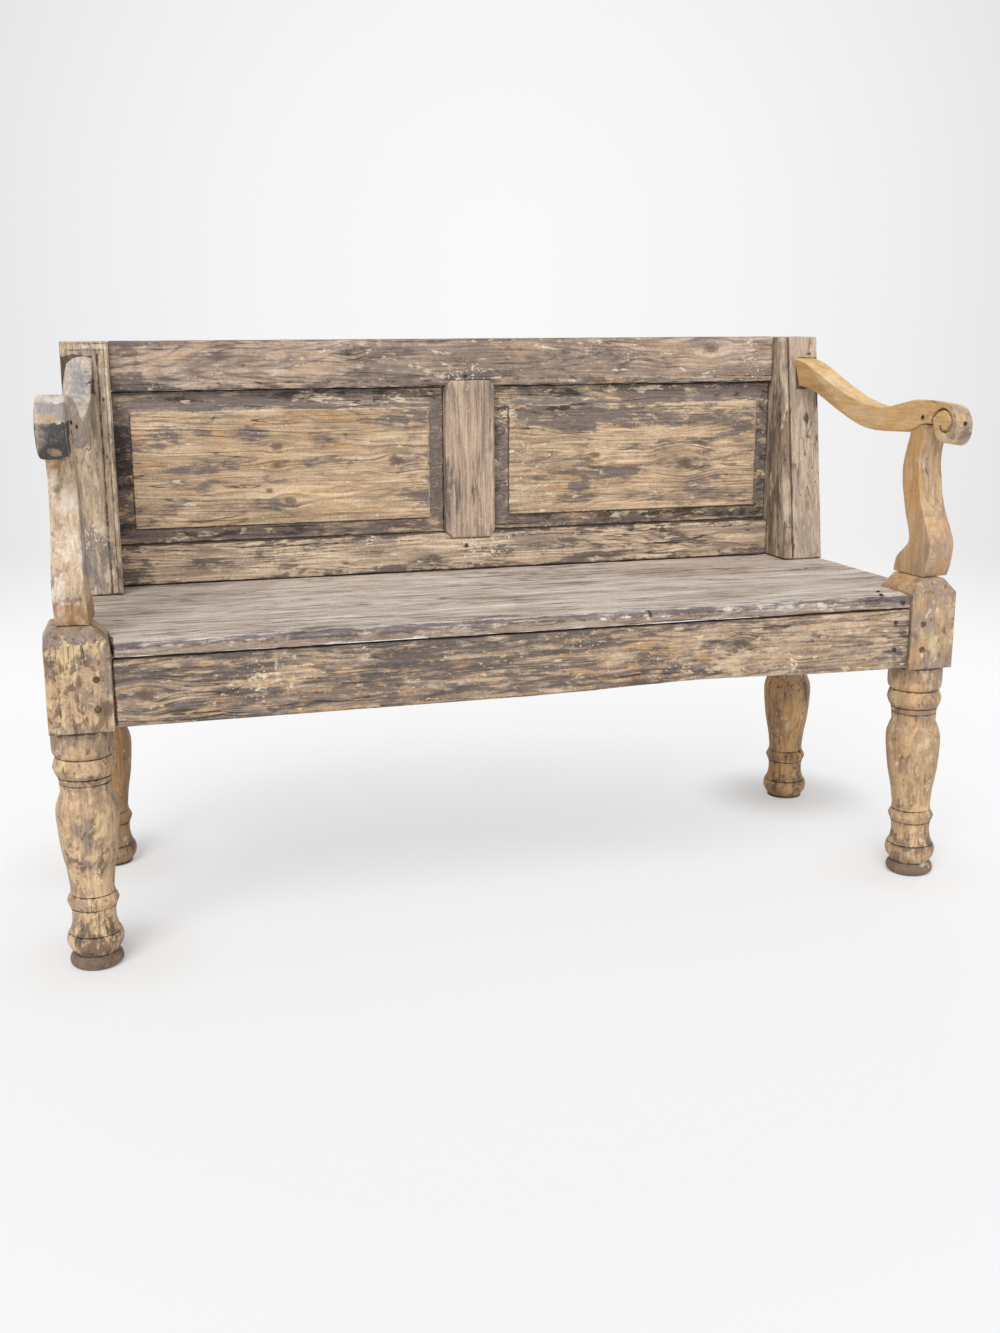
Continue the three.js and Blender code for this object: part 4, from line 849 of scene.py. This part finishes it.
for end, i, side in ENDS:
    low_x, high_x = sorted((POST_IN[i], POST_OUT[i]))
    post = board(f"{end}_back_post", (low_x, POST_FOOT_FRONT, LOW_RAIL_FOOT), (high_x, BACK, POST_HEAD))
    slice_off(post, (0, POST_FOOT_FRONT, LOW_RAIL_FOOT), lean)
    for offset in WORKED_LINE:
        slice_off(post, (POST_IN[i] + side * offset, 0, 0), (1, 0, 0), keep=True)
    line = POST_IN[i] + side * sum(WORKED_LINE) / 2
    pick(post, "FACE", lambda co, normal, line=line: abs(co.x - line) < TOUCH and normal.y < -0.9)
    bpy.ops.mesh.extrude_region_move(TRANSFORM_OT_translate={"value": (0, WORKED_DEEP, 0)})
    bpy.ops.object.mode_set(mode="OBJECT")
    finish(wear(post, 1.7, rounding=2), [f"{end}_post"], post_looks[end])

# %% [markdown]
# The rails are boards with one front corner sliced off along the panels. The muntin laps over both rails with
# a thinner layer whose corners are clipped.

# %% Rails and muntin
EDGE_WIDE, EDGE_DEEP = 0.010, 0.004
MUNTIN_PROUD = 0.003
LAP, LAP_BACK = 0.010, 0.009
top_look = pine(
    "painted pine, top rail", "X", BARK, seed=8.8, rings=22, relief=2.2, chips=("#eadfca", 1.21),
    knots=[((0.466, 0.206, 0.858), 0.008), ((-0.188, 0.206, 0.86), 0.007)], layers=[
        coat("#83756c", 0.5, 0.08, 0.75, (6, 22),
             box((0.05, 0.206, 0.84), (0.24, 0.03, 0.05), 0.17, wander=0.1),
             box((-0.43, 0.206, 0.84), (0.14, 0.03, 0.05), -0.07, wander=0.1)),
        coat("#c6a583", 0.58, 0.06, 0.55, (10, 40), follow=-0.04),
        coat("#635a56", 0.595, 0.045, 0.75, (12, 44), blob((-0.565, 0.206, 0.84), (0.035, 0.05, 0.05), 0.16),
             blob((-0.52, 0.206, 0.815), (0.05, 0.05, 0.02), 0.08),
             blob((0.0, 0.206, 0.845), (0.2, 0.05, 0.04), 0.05),
             box((0.0, 0.206, 0.8035), (0.6, 0.03, 0.005), 0.07),
             box((0.0, 0.206, 0.8775), (0.6, 0.05, 0.003), 0.05)),
        coat(CREAM, 0.63, 0.02, 0.75, (34, 100), blob((-0.06, 0.206, 0.83), (0.05, 0.03, 0.02), 0.06),
             follow=0),
        # painted shade along the rail's lower edge over the panels, round the muntin's lap and in the line of
        # the sliced edge
        shade_line(box((0.0, 0.206, 0.8), (0.6, 0.05, 0.0022), 0.6, wander=0.003),
            box((0.018, 0.206, 0.811), (0.037, 0.02, 0.001), 0.6, wander=0.0015),
            box((0.0, 0.206, 0.8105), (0.6, 0.05, 0.0007), 0.45, wander=0.004))])
low_look = pine(
    "painted pine, bottom rail", "X", ("#7b6959", "#bca48c", "#dcc8ad"), seed=10.5, rings=25, relief=2.5,
    chips=("#eadfca", 1.19), layers=[
        coat("#8b7d71", 0.54, 0.06, 0.7, (5, 36)),
        coat(SLATE, 0.575, 0.04, 0.8, (15, 46), box((0.0, 0.206, 0.547), (0.6, 0.03, 0.004), 0.08),
             box((0.0, 0.206, 0.4835), (0.6, 0.03, 0.003), 0.1),
             blob((-0.56, 0.206, 0.51), (0.03, 0.05, 0.03), 0.1),
             blob((0.3, 0.206, 0.51), (0.12, 0.05, 0.02), 0.04)),
        coat(CREAM, 0.6, 0.02, 0.7, (30, 90), follow=0, thick=0.2),
        # painted shade along the top edge and the sliced edge, round the muntin's lap, and where the rail
        # stands on the seat
        shade_line(box((0.0, 0.206, 0.5486), (0.6, 0.05, 0.0014), 0.6, wander=0.003),
            box((0.018, 0.206, 0.5376), (0.037, 0.02, 0.001), 0.6, wander=0.0015),
            box((0.0, 0.206, 0.5385), (0.6, 0.05, 0.0007), 0.45, wander=0.004),
            box((0.0, 0.206, 0.4826), (0.6, 0.05, 0.0022), 0.6, wander=0.003))])
muntin_look = pine(
    "painted pine, muntin", "Z", ("#80705f", "#b79f8b", "#d6c0a6"), seed=14.2, rings=20, figure=0.65,
    chips=("#eadfca", 1.2), layers=[
        coat("#877a70", 0.53, 0.07, 0.7, (5, 40), box((0.018, 0.206, 0.675), (0.018, 0.03, 0.11), -0.05)),
        coat(SLATE, 0.6, 0.04, 0.75, (10, 60), box((-0.022, 0.206, 0.675), (0.005, 0.03, 0.14), 0.08),
             box((0.058, 0.206, 0.675), (0.005, 0.03, 0.14), 0.08))])

rail = board("top_rail_board", (POST_IN[0], RAIL_FACE, TOP_RAIL_FOOT), (POST_IN[1], RAIL_BACK, BENCH_TOP))
slice_off(rail, (0, RAIL_FACE, TOP_RAIL_FOOT + EDGE_WIDE), (0, -EDGE_WIDE, -EDGE_DEEP))
finish(wear(rail, 3.0, rounding=3), ["top_rail"], top_look)

rail = board("bottom_rail_board", (POST_IN[0], RAIL_FACE, LOW_RAIL_FOOT),
             (POST_IN[1], RAIL_BACK, LOW_RAIL_TOP))
slice_off(rail, (0, RAIL_FACE, LOW_RAIL_TOP - EDGE_WIDE), (0, -EDGE_WIDE, EDGE_DEEP))
finish(wear(rail, 3.0, rounding=3), ["bottom_rail"], low_look)

upright = board("muntin_board", (MUNTIN_X[0], RAIL_FACE - MUNTIN_PROUD, LOW_RAIL_TOP + CLEAR),
                (MUNTIN_X[1], RAIL_BACK, TOP_RAIL_FOOT - CLEAR))
lap = board("muntin_lap", (MUNTIN_X[0], RAIL_FACE - MUNTIN_PROUD, LOW_RAIL_TOP - LAP),
            (MUNTIN_X[1], RAIL_FACE + LAP_BACK, TOP_RAIL_FOOT + LAP))
for x, way in ((MUNTIN_X[0], -1), (MUNTIN_X[1], 1)):
    slice_off(lap, (x, 0, TOP_RAIL_FOOT), (way, 0, 1))
    slice_off(lap, (x, 0, LOW_RAIL_TOP), (way, 0, -1))
muntin = join(upright, lap)
finish(wear(muntin, 2.0, rounding=3), ["muntin"], muntin_look)

# %% [markdown]
# A panel is three boards joined: a thin one that fills the frame, one with its four edges sliced to long
# bevels, and the raised field in front, a small step higher. One remesh makes a single skin of the three. The
# paint has stayed on the bevels and gone from the middle.

# %% Panels
FIELD_FACE, BORDER_FACE, TONGUE_FACE, TONGUE_BACK = 0.211, 0.215, 0.220, 0.228
FIELD_Z, OPENING_Z = (0.5756, 0.765), (LOW_RAIL_TOP, TOP_RAIL_FOOT)
OPENINGS = {"left": (POST_IN[0], MUNTIN_X[0]), "right": (MUNTIN_X[1], POST_IN[1])}
FIELDS = {"left": (-0.552, -0.054), "right": (0.090, 0.562)}
BEVEL, STEP = 0.022, 0.0022


def middle_and_half(ends):
    return (ends[0] + ends[1]) / 2, (ends[1] - ends[0]) / 2


def patch(x, z, wide, high, push, y=FIELD_FACE):
    return blob((x, y, z), (wide, 0.03, high), push)


def panel_look(end, seed, slate, soot, chalk, knots, warm):
    (x, half_x), (z, half_z) = middle_and_half(FIELDS[end]), middle_and_half(FIELD_Z)
    (open_x, open_half_x), (open_z, open_half_z) = middle_and_half(OPENINGS[end]), middle_and_half(OPENING_Z)
    left, right_edge = FIELDS[end]
    foot, top = FIELD_Z
    # painted shade under the field's left and lower edges, painted highlight along its right and upper edges
    # and just above its foot, and painted shade in the seam round the panel
    shaded_field_edge = [box((left - 0.0006, FIELD_FACE, z), (0.0012, 0.012, half_z), 0.6, wander=0.002),
                 box((x, FIELD_FACE, foot - 0.0006), (half_x, 0.012, 0.0012), 0.6, wander=0.002)]
    highlit_field_edge = [box((right_edge, FIELD_FACE, z), (0.0008, 0.012, half_z), 0.4, wander=0.003),
                  box((x, FIELD_FACE, top), (half_x, 0.012, 0.0006), 0.35, wander=0.003),
                  box((x, FIELD_FACE, foot + STEP), (half_x, 0.012, 0.0010), 0.35, wander=0.003)]
    seam_shade = [box((x, FIELD_FACE, z), (0.5, 0.013, 0.5), 0.6, wander=0.002),
            box((open_x, FIELD_FACE, open_z), (open_half_x - 0.0022, 0.05, open_half_z - 0.0026), -0.6,
                wander=0.004)]
    border = [box((x, FIELD_FACE - 0.003, z), (0.5, 0.016, 0.5), 0.20, wander=0.008),
              box((x, FIELD_FACE, z), (half_x, 0.05, half_z), -0.20, wander=0.008)]
    return pine(
        f"painted pine, {end} panel", "X", STRAW, seed=seed, rings=26, knots=knots, relief=2.5, figure=0.8,
        chips=("#eadfca", 1.27, *chalk), layers=[
            coat("#93836f", 0.545, 0.06, 0.6, (8, 28)),
            coat(OCHRE, 0.60, 0.05, 0.6, (9, 30), *warm),
            coat("#686061", 0.60, 0.06, 0.82, (13, 40), *border, *slate),
            coat(SOOT, 0.67, 0.05, 0.8, (18, 36), *soot),
            # painted highlight on the edges of the raised field
            coat("#d3bd9d", 0.62, 0.05, 0.7, (14, 50), *highlit_field_edge, follow=0),
            coat(CREAM, 0.625, 0.018, 0.8, (32, 90), *chalk, follow=0, thick=0.25),
            # painted shade at the field's edge and in the seam where the panel meets its frame
            shade_line(*shaded_field_edge, cover=0.75),
            shade_line(*seam_shade, colour="#2f2823", cover=0.85)])


panel_looks = {
    "left": panel_look(
        "left", 15.3,
        [patch(-0.24, 0.678, 0.06, 0.009, 0.1), patch(-0.455, 0.671, 0.04, 0.008, 0.1),
         patch(-0.427, 0.632, 0.018, 0.02, 0.1), patch(-0.463, 0.726, 0.04, 0.012, 0.1),
         patch(-0.34, 0.735, 0.05, 0.03, 0.05), patch(-0.13, 0.67, 0.05, 0.014, 0.09),
         patch(-0.1, 0.75, 0.05, 0.01, 0.09), patch(-0.3, 0.62, 0.05, 0.02, 0.07),
         patch(-0.525, 0.735, 0.04, 0.035, 0.1), box((-0.038, 0.215, 0.68), (0.014, 0.03, 0.11), 0.1),
         patch(-0.075, 0.67, 0.03, 0.09, 0.13), patch(-0.52, 0.6, 0.04, 0.02, 0.07)],
        [box((-0.568, 0.215, 0.695), (0.014, 0.03, 0.055), 0.26, wander=0.008),
         box((-0.568, 0.215, 0.565), (0.014, 0.03, 0.02), 0.18, wander=0.008),
         patch(-0.18, 0.787, 0.16, 0.012, 0.16, BORDER_FACE),
         patch(-0.42, 0.79, 0.14, 0.008, 0.1, BORDER_FACE),
         patch(-0.3, 0.562, 0.2, 0.008, 0.08, BORDER_FACE)],
        [patch(-0.235, 0.787, 0.03, 0.01, 0.08), patch(-0.09, 0.775, 0.03, 0.012, 0.06),
         patch(-0.42, 0.562, 0.1, 0.012, 0.05), patch(-0.13, 0.67, 0.06, 0.03, 0.03)],
        [((-0.316, 0.211, 0.705), 0.006), ((-0.316, 0.211, 0.674), 0.006), ((-0.112, 0.211, 0.674), 0.008),
         ((-0.298, 0.211, 0.614), 0.006), ((-0.33, 0.211, 0.632), 0.004)],
        [patch(-0.3, 0.6, 0.2, 0.02, 0.03), box((-0.567, 0.215, 0.615), (0.012, 0.03, 0.026), 0.2)]),
    "right": panel_look(
        "right", 17.9,
        [patch(0.27, 0.648, 0.09, 0.02, 0.14), patch(0.15, 0.755, 0.06, 0.008, 0.12),
         patch(0.532, 0.72, 0.016, 0.012, 0.14), patch(0.225, 0.625, 0.02, 0.012, 0.12),
         patch(0.2, 0.742, 0.12, 0.024, 0.16), patch(0.4, 0.745, 0.16, 0.018, 0.17),
         box((0.49, 0.211, 0.67), (0.07, 0.03, 0.09), 0.06, wander=0.05), patch(0.33, 0.6, 0.22, 0.012, 0.08),
         patch(0.38, 0.69, 0.1, 0.008, 0.1)],
        [patch(0.47, 0.565, 0.13, 0.01, 0.2, BORDER_FACE), patch(0.15, 0.76, 0.07, 0.006, 0.14, BORDER_FACE),
         box((0.578, 0.215, 0.675), (0.012, 0.03, 0.12), 0.15),
         box((0.073, 0.215, 0.7), (0.01, 0.03, 0.09), 0.1), patch(0.22, 0.57, 0.16, 0.006, 0.12, BORDER_FACE),
         patch(0.33, 0.782, 0.26, 0.01, 0.09, BORDER_FACE)],
        [patch(0.14, 0.64, 0.07, 0.05, 0.05), patch(0.36, 0.79, 0.16, 0.006, 0.09, BORDER_FACE),
         patch(0.27, 0.57, 0.09, 0.009, 0.08, BORDER_FACE), patch(0.09, 0.74, 0.02, 0.03, 0.05)],
        [((0.4205, 0.211, 0.655), 0.012), ((0.251, 0.211, 0.674), 0.005)],
        [patch(0.277, 0.717, 0.03, 0.02, 0.08), patch(0.27, 0.567, 0.11, 0.007, 0.14, BORDER_FACE)]),
}
for end, i, side in ENDS:
    (left, right_edge), field = OPENINGS[end], FIELDS[end]
    back_board = board(f"{end}_panel_board", (left, TONGUE_FACE, LOW_RAIL_TOP),
                       (right_edge, TONGUE_BACK, TOP_RAIL_FOOT))
    slope_face = FIELD_FACE + STEP
    sloping = board(f"{end}_panel_slopes", (field[0] - BEVEL, slope_face, FIELD_Z[0] - BEVEL),
                    (field[1] + BEVEL, TONGUE_BACK - TOUCH, FIELD_Z[1] + BEVEL))
    drop = TONGUE_FACE - slope_face
    for x, slope in ((field[0], -drop), (field[1], drop)):
        slice_off(sloping, (x, slope_face, 0), (slope, -BEVEL, 0))
    for z, slope in ((FIELD_Z[0], -drop), (FIELD_Z[1], drop)):
        slice_off(sloping, (0, slope_face, z), (0, -BEVEL, slope))
    raised = board(f"{end}_panel_field", (field[0], FIELD_FACE, FIELD_Z[0]),
                   (field[1], TONGUE_FACE, FIELD_Z[1]))
    panel = wear(join(back_board, sloping, raised), 2.1, rounding=1, depth=0.6)
    finish(panel, [f"{end}_panel"], panel_looks[end], angle=30)

# %% [markdown]
# The right arm was stripped like the legs, with painted shade in the carved groove of its scroll and a
# band of painted shade at its root by the post. The left one keeps grey paint on its inner side and head,
# with a dark patch and a crack on the scroll, and painted highlights along the top of the scroll and round
# its rim. The left support has an orange-brown foot and a band of painted shade under the scroll.

# %% Arm finishes
CRACK = [blob((-0.645, -0.205 + 0.010 * step, 0.767 - 0.0046 * step), (0.02, 0.008, 0.0030), 0.6, rough=0.3)
         for step in range(6)]
ARM_LOOKS = {
    "left_arm": pine(
        "honey pine, left arm", "Y", ("#94867b", "#c0b1a3", "#ddd2c6"), seed=21.5, rings=14, relief=1.3,
        figure=0.5, layers=[
            coat("#9a8b80", 0.54, 0.08, 0.6, (8, 26)),
            coat("#8b8d93", 0.72, 0.1, 0.8, (8, 20),
                 blob((-0.633, 0.07, 0.84), (0.018, 0.13, 0.05), 0.25, rough=0.7)),
            coat("#b49d8b", 0.8, 0.08, 0.8, (12, 24),
                 blob((-0.648, -0.225, 0.775), (0.008, 0.043, 0.043), 0.45, rough=0.2), follow=0),
            coat("#938a88", 0.8, 0.06, 0.85, (20, 36),
                 box((-0.68, -0.27, 0.799), (0.05, 0.035, 0.013), 0.4, wander=0.01), follow=0),
            coat("#38393d", 0.8, 0.06, 0.92, (26, 40),
                 box((-0.68, -0.27, 0.758), (0.042, 0.045, 0.027), 0.42, wander=0.012), follow=0),
            coat("#b59a7b", 0.8, 0.06, 0.8, (30, 40),
                 blob((-0.684, -0.27, 0.789), (0.02, 0.03, 0.007), 0.42, rough=0.5),
                 blob((-0.672, -0.262, 0.744), (0.01, 0.03, 0.009), 0.34), follow=0),
            # a pale band along the top of the scroll head: painted highlight over the grey paint
            coat("#ddd6cb", 0.8, 0.08, 0.75, (26, 50),
                 box((-0.68, -0.25, 0.813), (0.05, 0.04, 0.005), 0.36, wander=0.01), follow=0),
            coat("#efe9de", 0.74, 0.02, 0.85, (90, 120),
                 blob((-0.69, -0.268, 0.768), (0.012, 0.02, 0.014), 0.13), follow=0),
            # painted highlight: a pale ring just inside the rim of the scroll
            coat("#dccbb4", 0.85, 0.2, 0.7, (30, 60),
                 volute((-0.6545, -0.227, 0.775), 0.043, inner=0.86, outer=0.86, push=0.4), follow=0),
            shade_line(*CRACK)]),
    "right_arm": pine(
        "honey pine, right arm", "Y", ("#c0955f", "#dab17c", "#ebce9f"), seed=23.1, rings=12, relief=0.9,
        roughness=0.6, cracks=0.6, figure=0.45, layers=[
            coat("#bd9565", 0.58, 0.08, 0.5, (6, 20)),
            coat("#e7d3b4", 0.58, 0.07, 0.7, (7, 22), box((0.7, 0.0, 0.8), (0.012, 0.2, 0.05), 0.08)),
            coat("#9a8c83", 0.72, 0.06, 0.8, (18, 26),
                 box((0.69, -0.277, 0.752), (0.05, 0.028, 0.033), 0.3, wander=0.01)),
            coat("#6d625d", 0.72, 0.06, 0.75, (24, 30),
                 blob((0.69, -0.272, 0.733), (0.03, 0.02, 0.012), 0.2),
                 blob((0.68, -0.27, 0.765), (0.02, 0.02, 0.01), 0.16)),
            # painted shade: a darker band at the root of the arm by the post
            coat("#9a7a52", 0.72, 0.08, 0.7, (10, 30),
                 box((0.655, 0.17, 0.82), (0.02, 0.05, 0.04), 0.16, wander=0.03)),
            # painted shade in the carved groove of the scroll
            shade_line(volute((0.6655, -0.243, 0.7485), 0.0275), colour="#4b3828", soft=0.2, cover=0.85)]),
    "left_arm_support": pine(
        "honey pine, left support", "Z", ("#8d7357", "#c0a68a", "#ddccb4"), seed=25.7, rings=14, relief=1.4,
        figure=0.6, cracks=0.62, layers=[
            coat("#8d8588", 0.6, 0.06, 0.8, (14, 30),
                 blob((-0.66, -0.23, 0.678), (0.024, 0.05, 0.012), 0.18),
                 box((-0.641, -0.21, 0.64), (0.008, 0.05, 0.07), 0.17, wander=0.01)),
            coat("#e3d8c6", 0.585, 0.04, 0.7, (16, 34),
                 blob((-0.66, -0.21, 0.63), (0.04, 0.06, 0.04), 0.04)),
            coat("#7c6654", 0.61, 0.04, 0.75, (24, 40),
                 blob((-0.66, -0.21, 0.57), (0.03, 0.06, 0.025), 0.06)),
            # orange-brown at the foot of the support, and a band of painted shade under the scroll
            coat("#9f7344", 0.64, 0.08, 0.8, (20, 30),
                 box((-0.66, -0.2, 0.52), (0.05, 0.06, 0.016), 0.16, wander=0.012),
                 box((-0.66, -0.2, 0.726), (0.05, 0.06, 0.008), 0.13, wander=0.02)),
            coat("#5f4a3a", 0.72, 0.1, 0.5, (20, 30),
                 box((-0.66, -0.23, 0.541), (0.022, 0.03, 0.003), 0.22, wander=0.008)),
            shade_line(*CRACK)]),
    "right_arm_support": pine(
        "honey pine, right support", "Z", ("#967757", "#c19f7a", "#dbc2a1"), seed=27.3, rings=14, relief=1.3,
        figure=0.5, cracks=0.62, knots=[((0.7, -0.2, 0.585), 0.005), ((0.665, -0.225, 0.61), 0.004)],
        layers=[
            coat("#9a8579", 0.54, 0.08, 0.75, (9, 22), blob((0.69, -0.22, 0.57), (0.04, 0.06, 0.06), 0.06)),
            coat("#d0a062", 0.58, 0.06, 0.7, (5, 26), box((0.655, -0.18, 0.68), (0.008, 0.06, 0.07), 0.12)),
            coat(CREAM, 0.62, 0.05, 0.6, (18, 36))]),
}


# %% [markdown]
# The arms and their supports are carved, with no straight edge to start from. Each begins as a copy of its
# solid, merged to one skin, and the wear turns its flat facets and sharp carving into handled wood. The top
# of the left arm is pressed down along both sides of its root, more on the outer one, which leaves an arch.
# Its edges are then smoothed, most at the root and the scroll.

# %% Arms and supports
ROUNDINGS = {"left_arm": 8, "right_arm": 3, "left_arm_support": 6, "right_arm_support": 4}
ROOT_MIDDLE, ROOT_HALF = -0.6295, 0.0225
ROOT_Y, ROOT_Z, ROOT_SLOPE, ROOT_SIDE = 0.12, 0.797, 0.56, 0.018
ARCH_DEEP, SCROLL_BACK = 0.014, -0.185


def copy_of(node, name):
    object_mode()
    piece = bpy.data.objects.new(name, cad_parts[node].data.copy())
    piece.data.name = name
    bpy.context.scene.collection.objects.link(piece)
    take(piece)
    bpy.ops.mesh.customdata_custom_splitnormals_clear()
    bpy.ops.object.mode_set(mode="EDIT")
    bpy.ops.mesh.select_all(action="SELECT")
    bpy.ops.mesh.remove_doubles(threshold=0.00001)
    bpy.ops.object.mode_set(mode="OBJECT")
    return piece


def share(value, start, reach):
    return min(1, max(0, (value - start) / reach))


def arch(co):
    across = (co.x - ROOT_MIDDLE) / ROOT_HALF
    outer, inner = share(-across, 0.35, 0.65), share(across, 0.55, 0.45)
    upper = share(co.z, ROOT_Z + (co.y - ROOT_Y) * ROOT_SLOPE, ROOT_SIDE)
    return min(1, outer ** 2 + 0.5 * inner ** 2) * upper * share(co.y, 0.02, 0.10)


def handled(co):
    return 0.7 if co.y < SCROLL_BACK else max(0.12, share(co.y, 0.05, 0.07))


for node, look in ARM_LOOKS.items():
    piece = wear(copy_of(node, f"{node}_worn"), 1.25, rounding=ROUNDINGS[node], depth=0.7)
    if node == "left_arm":
        weigh(piece, "arch", arch)
        reshape(piece, "arched root", "DISPLACE", direction="Z", strength=-ARCH_DEEP, mid_level=0,
                vertex_group="arch")
        weigh(piece, "handled", handled)
        reshape(piece, "handled edges", "SMOOTH", factor=0.5, iterations=200, vertex_group="handled")
    finish(piece, [node], look, angle=60)

# %% [markdown]
# The pegs and the nails keep their solids. A peg shows dark end grain, and a nail head is forged iron with a
# skin of brown rust, dull and a little rough.

# %% Pegs and nails
peg_look = pine("dark end grain", "Y", ("#3a2c20", "#5b4632", "#7c6248"), seed=31.1, rings=4)
iron_look, tree = new_material("forged iron with rust")
spot = add(tree, "TexCoord").outputs["Object"]
rust = add(tree, "TexNoise", spot, Scale=400, Detail=4)
shade = add(tree, "ValToRGB", rust, stops=[(0.35, "#2c2a29"), (0.5, "#3d3733"), (0.68, "#6b4a34")])
bump = add(tree, "Bump", Strength=0.6, Distance=0.3 * MM, Height=rust)
shader = add(tree, "BsdfPrincipled", shade, Metallic=0.6, Roughness=0.62, Normal=bump)
add(tree, "OutputMaterial", shader)
for name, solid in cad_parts.items():
    look = peg_look if "_peg_" in name else iron_look if "nail" in name else None
    if look:
        solid.data.materials.clear()
        solid.data.materials.append(look)
print("pegs and nails finished")
